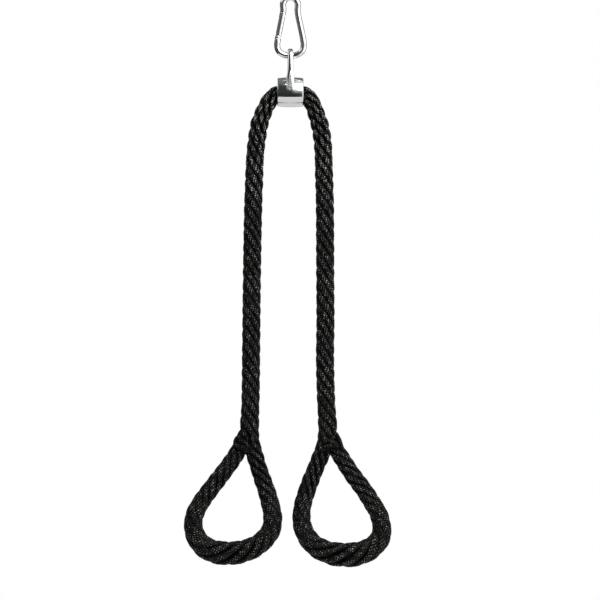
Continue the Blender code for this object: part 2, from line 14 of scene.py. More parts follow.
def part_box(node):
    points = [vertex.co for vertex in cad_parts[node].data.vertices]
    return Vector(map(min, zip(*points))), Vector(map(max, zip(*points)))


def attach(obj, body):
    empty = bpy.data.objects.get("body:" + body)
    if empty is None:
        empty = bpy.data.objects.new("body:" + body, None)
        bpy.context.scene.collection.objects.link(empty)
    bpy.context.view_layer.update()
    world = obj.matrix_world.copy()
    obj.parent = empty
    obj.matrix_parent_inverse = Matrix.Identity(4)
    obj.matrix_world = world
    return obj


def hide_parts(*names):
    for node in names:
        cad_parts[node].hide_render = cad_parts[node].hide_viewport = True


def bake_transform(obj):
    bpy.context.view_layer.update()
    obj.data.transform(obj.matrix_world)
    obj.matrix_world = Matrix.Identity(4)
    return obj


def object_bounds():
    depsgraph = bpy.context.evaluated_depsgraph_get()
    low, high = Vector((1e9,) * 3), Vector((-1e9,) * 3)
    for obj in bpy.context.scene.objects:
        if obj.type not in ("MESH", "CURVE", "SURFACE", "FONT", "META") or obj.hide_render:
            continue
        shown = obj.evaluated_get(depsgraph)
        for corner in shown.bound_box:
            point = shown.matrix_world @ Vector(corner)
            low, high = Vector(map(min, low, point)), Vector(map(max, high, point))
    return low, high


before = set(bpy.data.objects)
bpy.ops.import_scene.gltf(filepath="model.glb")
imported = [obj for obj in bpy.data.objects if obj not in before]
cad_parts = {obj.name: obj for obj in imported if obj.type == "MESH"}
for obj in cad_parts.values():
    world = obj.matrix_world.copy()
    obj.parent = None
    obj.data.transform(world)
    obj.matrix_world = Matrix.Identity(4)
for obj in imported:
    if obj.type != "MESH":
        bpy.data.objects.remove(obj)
CAD_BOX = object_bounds()

bl_info = {
    "name": "Triceps rope attachment",
    "version": (1, 0, 0),
    "blender": (4, 5, 0),
    "location": "3D View > Sidebar > Rope attachment",
    "description": "Makes the laid rope, the collar, the eye bail and the snap hook around the packed frame",
    "category": "Object",
}

SIDES = ("left", "right")
MILLIMETRE = 0.001

# The collar's place, as the frame has it
COLLAR_LOW, COLLAR_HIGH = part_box("collar")
COLLAR_MIDDLE = (COLLAR_LOW + COLLAR_HIGH) / 2
COLLAR_Z = COLLAR_MIDDLE.z

# Snap hook: one wire bent to a pear, and the gate in its left side
WIRE_D = 0.009
HOOK_LENGTH = 0.0915
HOOK_WIDTH = 0.0466
SMALL_BOW_INSIDE_D = 0.0122
BIG_BOW_DEPTH = 0.0158
BIG_BOW_SQUARENESS = 2.35  # 2 is an ellipse
ARM_SHARES = ((0, 0), (0.11, -0.07), (0.21, -0.01), (0.32, 0.12), (0.55, 0.46), (0.8, 0.81), (1, 1))
RIVET_HEIGHT_SHARE = 0.818
NOSE_HEIGHT_SHARE = 0.18
TONGUE_THICKNESS = 0.0034
TONGUE_R = 0.0042
TONGUE_FLAT_HEIGHT = 0.0036
CLAW_LENGTH = 0.0092
GATE_R = 0.0043
EAR_CLEARANCE = 0.0004
NOSE_CLEARANCE = 0.0005
GATE_EDGE = 0.0006
RIVET_R = 0.0015
RIVET_HEAD_R = 0.0025
RIVET_HEAD_HEIGHT = 0.001
EAR_FLAT_INSET = 0.0007
LATCH_PIN_R = 0.0013
LATCH_PIN_DROP = 0.005
CLAW_LIP_CLEARANCE = 0.0005
LOWER_SLOT_DEPTH = 0.0052
UPPER_SLOT_DEPTH = 0.0105
BORE_R = 0.0022
BORE_END_WALL = 0.0033
PLUNGER_HEAD_LENGTH = 0.0036
SPRING_WIRE_D = 0.0006
SPRING_PITCH = 0.0015
GAP = 0.0003  # between pieces that touch
OVERRUN = 0.002  # how far a cut runs past what it cuts
WIRE_SIDES = 40
WIRE_RING_EVERY = 1.5 * MILLIMETRE
GATE_RINGS = 20  # down the rod, so that its mirror stays straight up to the eased end
SPRING_SIDES = 10
SPRING_RINGS = 24  # to a turn
BARREL_RINGS = 33
BAIL_SIDES = 48
BAIL_STEPS = 24  # of its bow and of each leg
SHARP_ANGLE = math.radians(38)  # edges sharper than this are eased, and aren't shaded smooth
HOOK_EDGE = 0.25 * MILLIMETRE  # how wide the tumbling eased the edges
GATE_CUT_EDGE = 0.15 * MILLIMETRE
BAIL_EDGE = 0.3 * MILLIMETRE
CUT, JOIN, KEEP = "DIFFERENCE", "UNION", "INTERSECT"

# Collar and bail
COLLAR_LENGTH = 0.037
COLLAR_D = 0.043
COLLAR_WALL = 0.0045
COLLAR_END_DROP = 0.00125
COLLAR_OUTER_EDGE = 0.0016
COLLAR_MOUTH_EDGE = 0.0017
EYE_WIDTH_INSIDE = 0.017
BAIL_WIDTH = 0.0081
BAIL_THICKNESS = 0.0055
BAIL_FOOT_WIDTH = 0.0115
BAIL_FOOT_SINK = 0.0012
BAIL_FOOT_HEIGHT = 0.0012
BAIL_FLARE_SHARES = ((0, 0), (0.35, 0), (0.52, 0.25), (0.64, 1), (0.8, 0.85), (1, 0.7))
# How square the bail's section is from the eye's side (0) to the cut end of the foot (1)
BAIL_SQUARENESS_SHARES = ((0, 2.4), (0.3, 3.1), (0.65, 4.5), (1, 5))

# The wedge of cast grain on each foot of the bail
GRAIN_TOP_Z = -0.1015
GRAIN_LOW_Z = -0.126
GRAIN_TOP_WIDTH = 0.0022
GRAIN_LOW_WIDTH = 0.0088
GRAIN_EDGE_OUT, GRAIN_EDGE_IN = -0.8 * MILLIMETRE, 1.0 * MILLIMETRE  # it fades in over this much at its sides
GRAIN_FADE_ABOVE, GRAIN_FADE_BELOW = 3 * MILLIMETRE, -6 * MILLIMETRE  # and over this much at its top
GRAIN_DARK, GRAIN_LIGHT = "5c5d5c", "a4a5a5"

# The rope's route: (across, up). A shoulder's heights are from the collar's middle, and a loop's are from the
# leg's lower end, down through the splice, round and back into the splice
ROPE_D = 0.025
LEG_DROP = 0.4345
SHOULDERS = {
    "left": (
        (0, -0.0034), (-0.0165, -0.0035), (-0.022, -0.0048), (-0.0274, -0.0082), (-0.0332, -0.0154),
        (-0.0423, -0.039), (-0.0474, -0.0675), (-0.0502, -0.096), (-0.0512, -0.124), (-0.0523, -0.152),
    ),
    "right": (
        (0, -0.0034), (0.0165, -0.0035), (0.022, -0.0048), (0.0272, -0.0081), (0.0323, -0.0157),
        (0.0397, -0.039), (0.0453, -0.0675), (0.0477, -0.124), (0.0486, -0.152),
    ),
}
LOOPS = {
    "left": (
        (-0.0544, 0.1695), (-0.0563, 0), (-0.0576, -0.045), (-0.0562, -0.058), (-0.0503, -0.0775),
        (-0.0457, -0.093), (-0.0401, -0.11), (-0.0345, -0.1255), (-0.0264, -0.1555), (-0.025, -0.1695),
        (-0.0282, -0.185), (-0.0443, -0.2035), (-0.0641, -0.213), (-0.0768, -0.2157), (-0.0909, -0.2164),
        (-0.1036, -0.215), (-0.1149, -0.2113), (-0.1248, -0.2045), (-0.1325, -0.1945), (-0.1368, -0.181),
        (-0.1367, -0.169), (-0.1333, -0.1575), (-0.1276, -0.1468), (-0.1178, -0.1327), (-0.0909, -0.0974),
        (-0.0763, -0.0765), (-0.0637, -0.0505), (-0.061, -0.0405),
    ),
    "right": (
        (0.0492, 0.1695), (0.0495, 0.113), (0.0489, 0.0565), (0.0504, 0), (0.0526, -0.0415),
        (0.0514, -0.054), (0.0485, -0.0655), (0.0376, -0.0918), (0.0263, -0.12), (0.0178, -0.1468),
        (0.0158, -0.1609), (0.0164, -0.1751), (0.0206, -0.1878), (0.0291, -0.2005), (0.039, -0.2087),
        (0.0531, -0.215), (0.0658, -0.2179), (0.0912, -0.2179), (0.1124, -0.2102), (0.127, -0.1948),
        (0.1291, -0.1835), (0.1279, -0.1722), (0.1239, -0.1595), (0.1195, -0.1518), (0.1039, -0.1271),
        (0.087, -0.1045), (0.0712, -0.08), (0.064, -0.0687), (0.0567, -0.0508), (0.0548, -0.0405),
    ),
}
# (share of the side's length, share of the rope's thickness)
THICKNESS_SHARES = {
    "left": (
        (0, 1), (0.03, 0.97), (0.074, 1), (0.522, 1), (0.583, 0.92), (0.681, 1.07), (0.708, 1.13), (0.736, 1.26),
        (0.765, 1.31), (0.787, 1.26), (0.821, 1.07), (0.835, 1.02), (0.882, 0.96), (0.983, 0.89), (1, 0.82),
    ),
    "right": (
        (0, 1), (0.03, 0.97), (0.072, 1), (0.515, 1), (0.582, 0.92), (0.611, 0.96), (0.64, 0.96), (0.67, 1.02),
        (0.699, 1.11), (0.74, 1.31), (0.764, 1.35), (0.778, 1.31), (0.828, 1.05), (0.839, 1.02), (0.868, 0.97),
        (0.981, 0.9), (1, 0.82),
    ),
}
# (share of the side's length, how loose the strands are there, where 1 leaves the plies at their own lay); looser
# strands also get more painted light on their crowns
LOOSE_SHARES = ((0, 1.17), (0.09, 1.17), (0.15, 1.02), (0.21, 0.89), (0.5, 0.89), (0.58, 0.88), (1, 0.88))
# (share of the side's length, how open the grooves are there): a loop's bends press its strands together, and this
# also sets the painted shade in the grooves and on the pressed crowns
GROOVE_SHARES = (
    (0, 1), (0.5, 1), (0.54, 1.25), (0.61, 1.25), (0.64, 0.55), (0.69, 0.55), (0.73, 1.3), (0.77, 1.3), (0.81, 0.5),
    (0.86, 0.45), (0.89, 1.08), (1, 1.08),
)
FULLNESS = 1.06  # how far the strands' crowns stand out of the rope's mean size
HEART_SHARE = 0.5  # the heart that the strands are laid round, of the rope's thickness
SPLICE_BULK = ((0.475, 1), (0.49, 1.05), (0.515, 1.05), (0.53, 1))  # (length along the side, share of thickness)
# Where the rope settles into its bend: (length along the side, how far inwards, share of thickness)
SHOULDER_SETTLE = ((0.02, 0, 1), (0.034, 0.0015, 0.95), (0.048, 0.0013, 0.95), (0.07, 0, 1))
SETTLE_ACROSS, SETTLE_DOWN = 0.64, 0.77  # the way inwards there
TAIL_TAPER = 0.022  # the tail's strands are gathered over this length, so that they end inside the splice
TAIL_END_SHARE = 0.4
# Slow unevenness of the strands: (first seed, how much, over what length)
TURN_WAVER = (10, 0.05, 0.11)
HEIGHT_WAVER = (30, 0.03, 0.07)
WIDTH_WAVER = (50, 0.14, 0.04)
WAVER_SHARES = (1, 0.6, 0.37)
LOOSE_WIDTH = 0.5  # how much wider a strand lies, for each 1 that it is tightened
OPEN_WIDTH = 0.35  # how much narrower a strand is, for each 1 that its grooves are open
# A strand's crown is the mask for painted light and shade, from 0 in the groove's painted shade to 1 on its painted
# lit top
CROWN_FROM = 0.3  # where up its side it starts
CROWN_FROM_OPEN = 0.6  # and how much higher, for each 1 that its grooves are open
PARTED_POWER = 4  # a loosened stretch shows its plies more
# painted shade between the plies, where they part
PARTED_SHADE = 0.6
LOOSE_POWER = 3  # and its crowns get more painted light
PRESSED_SHADE = 0.22  # where the strands are pressed together their crowns get less painted light

SPLICE_MIDDLE = {"left": -0.061, "right": 0.056}  # across, between the leg and the tail
# Strands tucked over each throat to close the splice: half a strand's height, then (across, depth, up), in mm
TUCKS = {
    "left": (
        (4.4, (-64, -3, -602), (-67.5, 2, -608), (-71, 6.5, -614.5), (-69.5, 11.5, -619.5), (-64, 13.8, -624),
         (-58.5, 13, -629), (-56, 8, -633.5)),
        (4.4, (-70, -4, -613), (-75, 2, -619.5), (-76.5, 8, -624.5), (-72.5, 12.5, -628.5), (-66.5, 13.8, -631),
         (-61, 11.5, -633.5), (-58.5, 6, -636)),
        (3.4, (-58, 9, -606), (-55.5, 13.5, -611), (-54.2, 15, -616.5), (-53.6, 15, -622), (-53.2, 13.5, -627),
         (-54, 8, -631.5)),
    ),
    "right": (
        (4.0, (43, 8, -637), (46, 13.5, -633.5), (50.5, 15.5, -630), (55, 15.5, -627.5), (59, 12.5, -628),
         (60.5, 6, -631)),
        (4.2, (52, 9, -619), (56.5, 14, -621.5), (61.5, 15, -624.5), (65, 12.5, -629), (66, 7, -633.5)),
        (4.0, (60.5, -4, -608), (64.3, 1, -613.5), (67.6, 6, -619.5), (70, 9, -626), (71, 8, -632), (69, 3, -637)),
    ),
}
TUCK_LOOSE = 0.78  # the tucks are drawn tight, which also gives their crowns less painted light
TUCK_TAPER = ((0, 0.6), (0.2, 1), (0.8, 1), (1, 0.6))  # (share of a tuck's length, share of its thickness)
ROUTE_STEPS = 12  # of a smooth line, from one of its points to the next
ROPE_INSIDE = 0.0215  # from the collar's middle to where the rope starts to arch
ROPE_SHOULDER = 0.072
LEG_SEAM = 0.27  # where a side's upper and lower pieces meet
WRIST_ABOVE = 0.011
ROPE_WRIST = 0.046

# The rope's yarns are about 1 mm wide; they are drawn 3.7 mm wide, because a render pixel is 1.4 mm
YARN_DRAWN = 3.7 * MILLIMETRE
STRAND_ROUND = 26 * MILLIMETRE  # round a strand, in which whole yarns have to fit
RAGGED_SIZE = 5 * MILLIMETRE  # filaments part and bunch, so the painted light on a ply's crown has a ragged edge
RAGGED = 0.7
SPECKLE_SIZE = 1.5 * MILLIMETRE  # painted glints of single filaments that catch the light: the finest grain that the render shows
SPECKLE_FROM, SPECKLE_TO = 0.36, 0.64
PATCH_SIZE = 9 * MILLIMETRE  # the painted glints come and go in patches, as a strand's plies turn their filaments to the light and away again
PATCH_FROM, PATCH_TO, PATCH_LOW = 0.4, 0.6, 0.35
CHECK_SHARE = 0.8  # how much the yarns' check counts in the painted glints and the bump
HEIGHT_SHARE = 0.3  # how much the height on the crown counts
LIT_FROM, LIT_TO = 1.22, 1.5  # the sum where a painted glint starts, and where it is full
BODY_FROM, BODY_TO = 0.1, 0.7  # the height where the groove's painted shade ends, and where the yarn's colour is full
GLINT_FROM, GLINT_TO = 0.2, 0.8  # the height where painted glints start, and where they are full
ROPE_ROUGH, ROPE_ROUGH_LIT = 0.62, 0.42
POLYPROPYLENE_IOR = 1.49

# The steels' noise: buffing leaves ripple and haze, drawing leaves lines
RIPPLE_SIZE = 5 * MILLIMETRE
HAZE_SIZE = 1.5 * MILLIMETRE
HAZE_LESS, HAZE_MORE = 0.03, 0.05  # how far the haze takes the roughness below and above the polish
# Grains of the casting are about 0.5 mm; they are drawn 1.3 mm, because a render pixel is 1.4 mm
CAST_GRAIN_SIZE = 1.3 * MILLIMETRE
CAST_ROUGH = 0.46
CAST_SPOT_FROM, CAST_SPOT_TO = 0.35, 0.65
DRAWN_LINE_SIZE = 0.4 * MILLIMETRE
WIRE_ROUGH_LOW, WIRE_ROUGH_HIGH = 0.22, 0.4

# What steel sees of the room. Each place is a share and its fades, with the place's colour before them if it isn't
# white, and each fade is an axis of the way out, where it starts and where it is full
OVER_FLOOR = (("Z", -0.66, -0.61),)
WHITE_PLACES = {
    "softbox": (1.0, (("X", 0.03, 0.1), ("Z", 0.05, 0.25), ("Y", 0.25, 0.05))),
    "softbox's rim": (0.4, (("X", 0.03, 0.1), ("X", 0.45, 0.3), ("Z", -0.3, 0.1), ("Y", 0.25, 0.05))),
    "right wall": (1.0, (("X", 0.2, 0.34), ("Z", 0.95, 0.7), ("Y", 0.45, 0.25))),
    "left window": (1.0, (("X", -0.35, -0.6), ("Z", 0.26, 0.38), ("Z", 0.9, 0.7))),
    "back wall": (1.0, (("Y", 0.75, 0.95), ("Z", 0.6, 0.4))),
}
ROOM_SHADE = "3a3e3b"
SHADED_PLACES = {
    "ceiling": ("7a7e77", 1.0, (("Y", -0.8, -0.1),)),
    "left wall": ("6a6c68", 1.0, (("X", -0.22, -0.45),)),
    "low wall": ("2c2f2d", 0.7, (("Z", 0.0, -0.35),)),
    "skirting": ("5a3026", 0.7, (("Z", -0.46, -0.56), ("X", 0.02, -0.02))),
}
# (name, place from the view's middle, width and height, whose power)
LAMPS = (
    ("Key lamp", (0.66, -1.3, 1.42), (1.3, 2.0), "key_power"),
    ("Side lamp", (1.7, -0.75, 0.1), (0.8, 1.5), "side_power"),
    ("Fill lamp", (-1.7, -1.3, 0.3), (1.2, 1.4), "fill_power"),
)
FLOOR_R = 1.05
FLOOR_SHADOW_SHARE = 0.5  # of its radius, where the object's shadow shows in full
FLOOR_WHITE = 0.72  # how white it is made to the eye there
WHITE = (1, 1, 1, 1)

# Camera: level, square to the legs, with the whole frame's width at the object
VIEW_WIDTH = 0.8472
VIEW_CENTRE = (0.01356, 0, -0.4229)
CAMERA_AWAY = 6.0
SENSOR_WIDTH = 36.0


def linear(colour):
    """A linear RGBA colour from sRGB hex, such as "1a1b1c"."""
    shares = [int(colour[k:k + 2], 16) / 255 for k in (0, 2, 4)]
    return (*[c / 12.92 if c <= 0.04045 else ((c + 0.055) / 1.055) ** 2.4 for c in shares], 1)


def set_inputs(node, inputs):
    """Sets a node's inputs, by name or in their order, to values or to the sockets that feed them."""
    for key, value in inputs.items() if isinstance(inputs, dict) else enumerate(inputs):
        if isinstance(value, bpy.types.NodeSocket):
            node.id_data.links.new(value, node.inputs[key])
        else:
            node.inputs[key].default_value = value


def add_node(tree, kind, inputs=(), **settings):
    """Adds a shader node with its settings and inputs, and gives its outputs."""
    node = tree.nodes.new("ShaderNode" + kind)
    for name, value in settings.items():
        setattr(node, name, value)
    set_inputs(node, inputs)
    return node.outputs


def new_material(name):
    """The material of that name, new or emptied again, what adds nodes to it, and its shader."""
    material = bpy.data.materials.get(name) or bpy.data.materials.new(name)
    material.use_nodes = True
    tree = material.node_tree
    for node in list(tree.nodes):
        if node.name not in ("Principled BSDF", "Material Output"):
            tree.nodes.remove(node)
    return material, functools.partial(add_node, tree), tree.nodes["Principled BSDF"]


def add_object(name, data):
    """A new object in the scene."""
    obj = bpy.data.objects.new(name, data)
    bpy.context.scene.collection.objects.link(obj)
    return obj


def read_off(table, places, column=1):
    """A column of a table, read off at places in its first column."""
    rows = np.array(table)
    return np.interp(places, rows[:, 0], rows[:, column])


def smooth_line(points, axes=2):
    """A fine smooth line through the points, each with the length along it put before its own values."""
    points = np.array(points, float)
    knots = np.cumsum([0, *np.sqrt(np.linalg.norm(np.diff(points[:, :axes], axis=0), axis=1))])
    slopes = np.gradient(points, knots, axis=0)
    line = [points[0]]
    for k in range(len(points) - 1):
        span = knots[k + 1] - knots[k]
        for t in np.arange(1, ROUTE_STEPS + 1) / ROUTE_STEPS:
            line.append(
                (2 * t**3 - 3 * t**2 + 1) * points[k]
                + (t**3 - 2 * t**2 + t) * span * slopes[k]
                + (3 * t**2 - 2 * t**3) * points[k + 1]
                + (t**3 - t**2) * span * slopes[k + 1]
            )
    line = np.array(line)
    along = np.cumsum([0, *np.linalg.norm(np.diff(line[:, :axes], axis=0), axis=1)])
    return np.column_stack([along, line])


def at_lengths(line, stops):
    """Rows of a line's own values at lengths along it."""
    return np.column_stack([np.interp(stops, line[:, 0], column) for column in line.T[1:]])


def rope_line(side):
    """One side's rope in place, from the collar's middle to the tail's end: rows of length, x, z, thickness."""
    line = smooth_line([*SHOULDERS[side], *[(x, z - LEG_DROP) for x, z in LOOPS[side]]])
    line[:, 2] += COLLAR_Z
    thickness = ROPE_D * read_off(THICKNESS_SHARES[side], line[:, 0] / line[-1, 0])
    return np.column_stack([line, thickness])


def unit(rows):
    return rows / np.linalg.norm(rows, axis=-1, keepdims=True)


def strand_mesh(name, grids):
    """A mesh of closed tubes from grids of (points, uv, crown), each ring by side, capped at both ends."""
    mesh = bpy.data.meshes.new(name)
    points, faces, uvs, crowns = [], [], [], []
    start = 0
    for grid, uv, crown in grids:
        rings, sides = grid.shape[:2]
        index = start + np.arange(rings * sides).reshape(rings, sides)
        after = np.roll(index, -1, axis=1)
        quads = np.stack([index[:-1], after[:-1], after[1:], index[1:]], axis=-1).reshape(-1, 4)
        faces += quads.tolist()
        # A ring's last face runs on to 1 around, rather than back to 0
        around = np.append(uv[..., 1], np.ones((rings, 1)), axis=1)
        along = uv[..., 0]
        low, high = slice(None, -1), slice(1, None)
        places = ((low, low), (low, high), (high, high), (high, low))
        corners = [np.stack([along[rows], around[rows, columns]], -1) for rows, columns in places]
        uvs.append(np.stack(corners, axis=2).reshape(-1, 2))
        for ring, turn in ((0, -1), (rings - 1, 1)):
            faces.append(index[ring][::turn].tolist())
            uvs.append(uv[ring][::turn])
        points.append(grid.reshape(-1, 3))
        crowns.append(crown.reshape(-1))
        start += rings * sides
    mesh.from_pydata(np.vstack(points).tolist(), [], faces)
    layer = mesh.uv_layers.new(name="Strand")
    layer.data.foreach_set("uv", np.vstack(uvs).ravel())
    # The crown mask, which the rope's finish turns into painted light and shade
    attribute = mesh.attributes.new("crown", "FLOAT", "POINT")
    attribute.data.foreach_set("value", np.concatenate(crowns))
    mesh.shade_smooth()
    return mesh


TOP_BOW_R = (SMALL_BOW_INSIDE_D + WIRE_D) / 2
TOP_BOW_Z = -SMALL_BOW_INSIDE_D / 2
BIG_BOW_HALF = (HOOK_WIDTH - WIRE_D) / 2
BOTTOM_Z = 1.5 * WIRE_D - HOOK_LENGTH
BIG_BOW_Z = BOTTOM_Z + BIG_BOW_DEPTH
EYE_TOP_Z = BOTTOM_Z + WIRE_D / 2 + GAP


def arc(centre, radius, start, end, steps):
    """Points on a circle, from one angle to another in degrees."""
    angles = np.radians(np.linspace(start, end, steps + 1))
    return [(centre[0] + radius * math.cos(a), centre[1] + radius * math.sin(a)) for a in angles]


def flipped(profile):
    """A profile's points the other way up, to go on from its middle height."""
    return [(r, -z) for r, z in reversed(profile)]


def arm_line(side):
    """(x, z) down one side of the hook, from the small bow's middle height to the widest place."""
    width = BIG_BOW_HALF - TOP_BOW_R
    height = BIG_BOW_Z - TOP_BOW_Z
    return [(side * (TOP_BOW_R + out * width), TOP_BOW_Z + down * height) for down, out in ARM_SHARES]


def at_share(line, share):
    """The (x, z) point of an arm at a share of its height."""
    x, z = zip(*line)
    height = z[0] + share * (z[-1] - z[0])
    return Vector((float(np.interp(-height, np.negative(z), x)), 0, height))


def bow_quarter(side):
    """(x, z) round a quarter of the wide bow, from its widest place to the bottom."""
    power = 2 / BIG_BOW_SQUARENESS
    points = []
    for angle in np.radians(np.arange(0, 91, 10)):
        across = abs(math.cos(angle)) ** power
        down = math.sin(angle) ** power
        points.append((side * BIG_BOW_HALF * across, BIG_BOW_Z - BIG_BOW_DEPTH * down))
    return points


LEFT_ARM = arm_line(-1)
RIVET = at_share(LEFT_ARM, RIVET_HEIGHT_SHARE)
NOSE = at_share(LEFT_ARM, NOSE_HEIGHT_SHARE)
GATE_LENGTH = (NOSE - RIVET).length
GATE_TILT = math.atan2(NOSE.x - RIVET.x, NOSE.z - RIVET.z)
# The gate's own frame: Z along it from the rivet up, X inwards
GATE_FRAME = Matrix.Translation(RIVET) @ Matrix.Rotation(GATE_TILT, 4, "Y")
GATE_TOP = GATE_LENGTH - NOSE_CLEARANCE
BORE_TOP = GATE_TOP - UPPER_SLOT_DEPTH - BORE_END_WALL
LATCH_PIN_HEIGHT = GATE_LENGTH - LATCH_PIN_DROP
ACROSS = Matrix.Rotation(math.radians(90), 4, "X")  # turns a length along Z to lie along Y
COLLAR_AXIS = Matrix.Translation(COLLAR_MIDDLE) @ Matrix.Rotation(math.radians(90), 4, "Y")


def in_gate(x=0, y=0, z=0):
    return GATE_FRAME @ Matrix.Translation((x, y, z))


def hook_line():
    """The wire's middle line: from the claw's tip over the small bow, round the wide one, up to the rivet."""
    over = arc((0, TOP_BOW_Z), TOP_BOW_R, 180, 0, 10)
    right = arm_line(1)[1:]
    under = bow_quarter(1)[1:] + bow_quarter(-1)[-2::-1]
    left_up = [p for p in reversed(LEFT_ARM[:-1]) if p[1] < RIVET.z - WIRE_D / 2]
    left_down = [p for p in reversed(LEFT_ARM[1:]) if p[1] > NOSE.z + WIRE_D / 4]
    claw = in_gate(z=GATE_LENGTH - CLAW_LENGTH).translation
    middle = (claw + NOSE) / 2
    start = [(claw.x, claw.z), (middle.x, middle.z), (NOSE.x, NOSE.z)]
    return start + left_down + over + right + under + left_up + [(RIVET.x, RIVET.z)]


def new_mesh(work):
    """A mesh of what was worked, with its faces turned outwards."""
    bmesh.ops.recalc_face_normals(work, faces=work.faces)
    mesh = bpy.data.meshes.new("Work")
    work.to_mesh(mesh)
    work.free()
    return mesh


def lofted(rings):
    """A closed mesh through rings of as many points each."""
    work = bmesh.new()
    rings = [[work.verts.new(point) for point in ring] for ring in rings]
    sides = len(rings[0])
    for low, high in zip(rings, rings[1:]):
        for k in range(sides):
            n = (k + 1) % sides
            work.faces.new((low[k], low[n], high[n], high[k]))
    work.faces.new(rings[0])
    work.faces.new(rings[-1])
    return new_mesh(work)


def turned(profile, matrix, steps, closed=False):
    """A mesh turned about the matrix's Z from (radius, height) points that run down the outer side."""
    work = bmesh.new()
    corners = [work.verts.new((radius, 0, height)) for radius, height in profile]
    edges = [work.edges.new(pair) for pair in zip(corners, corners[1:] + corners[:1] * closed)]
    sweep = {"cent": (0, 0, 0), "axis": (0, 0, 1), "angle": 2 * math.pi, "steps": steps, "use_merge": True}
    bmesh.ops.spin(work, geom=[*corners, *edges], **sweep)
    bmesh.ops.remove_doubles(work, verts=work.verts, dist=MILLIMETRE / 1000)
    work.transform(matrix)
    return new_mesh(work)


def cylinder(radius, length, matrix):
    work = bmesh.new()
    sizes = {"radius1": radius, "radius2": radius, "depth": length}
    bmesh.ops.create_cone(work, cap_ends=True, segments=48, matrix=matrix, **sizes)
    return new_mesh(work)


def block(size, matrix):
    work = bmesh.new()
    bmesh.ops.create_cube(work, size=1, matrix=matrix @ Matrix.Diagonal((*size, 1)))
    return new_mesh(work)


def worked(name, mesh, steps, edge=0.0):
    """The mesh after its cuts and joins, (operation, mesh) each, with its edges eased by the tumbling."""
    obj = add_object(name, mesh)
    cutters = []
    for operation, other in steps:
        cutters.append(add_object("Cutter", other))
        modifier = obj.modifiers.new(operation.title(), "BOOLEAN")
        modifier.operation = operation
        modifier.object = cutters[-1]
    if edge:
        bevel = obj.modifiers.new("Eased edges", "BEVEL")
        bevel.width = edge
        bevel.segments = 2
        bevel.limit_method = "ANGLE"
        bevel.angle_limit = SHARP_ANGLE
    graph = bpy.context.evaluated_depsgraph_get()
    done = bpy.data.meshes.new_from_object(obj.evaluated_get(graph))
    for spent in (obj, *cutters):
        spent_mesh = spent.data
        bpy.data.objects.remove(spent)
        bpy.data.meshes.remove(spent_mesh)
    done.name = name
    done.shade_smooth()
    done.set_sharp_from_angle(angle=SHARP_ANGLE)
    return done


def hook_mesh():
    """The hook's wire, with the claw at its nose and the flat tongue at its gate end."""
    line = smooth_line(hook_line())
    count = int(line[-1, 0] / WIRE_RING_EVERY)
    x, z = at_lengths(line, np.linspace(0, line[-1, 0], count)).T
    ahead = unit(np.gradient(np.column_stack([x, z]), axis=0))
    angles = 2 * np.pi * np.arange(WIRE_SIDES) / WIRE_SIDES
    out, depth = WIRE_D / 2 * np.cos(angles), WIRE_D / 2 * np.sin(angles)
    rings = [np.column_stack([x[k] - out * ahead[k, 1], depth, z[k] + out * ahead[k, 0]]) for k in range(count)]
    steps = []
    claw = CLAW_LENGTH + OVERRUN
    for side in (-1, 1):
        beside = side * (TONGUE_THICKNESS + WIRE_D) / 2
        steps.append((CUT, cylinder(GATE_R + EAR_CLEARANCE, WIRE_D, in_gate(y=beside) @ ACROSS)))
        steps.append((CUT, block((2 * WIRE_D, WIRE_D, claw), in_gate(y=beside, z=GATE_LENGTH - claw / 2))))
    notch = LATCH_PIN_R + CLAW_LIP_CLEARANCE
    steps += [
        (JOIN, cylinder(TONGUE_R, TONGUE_THICKNESS, in_gate() @ ACROSS)),
        (CUT, block((4 * TONGUE_R, 2 * WIRE_D, 2 * TONGUE_R), in_gate(z=TONGUE_FLAT_HEIGHT + TONGUE_R))),
        (CUT, cylinder(RIVET_R + GAP, 2 * WIRE_D, in_gate() @ ACROSS)),
        (CUT, cylinder(notch, 2 * WIRE_D, in_gate(z=LATCH_PIN_HEIGHT) @ ACROSS)),
        (CUT, block((WIRE_D, 2 * WIRE_D, 2 * notch), in_gate(x=WIRE_D / 2, z=LATCH_PIN_HEIGHT))),
    ]
    return worked("hook_wire", lofted(rings), steps, HOOK_EDGE)


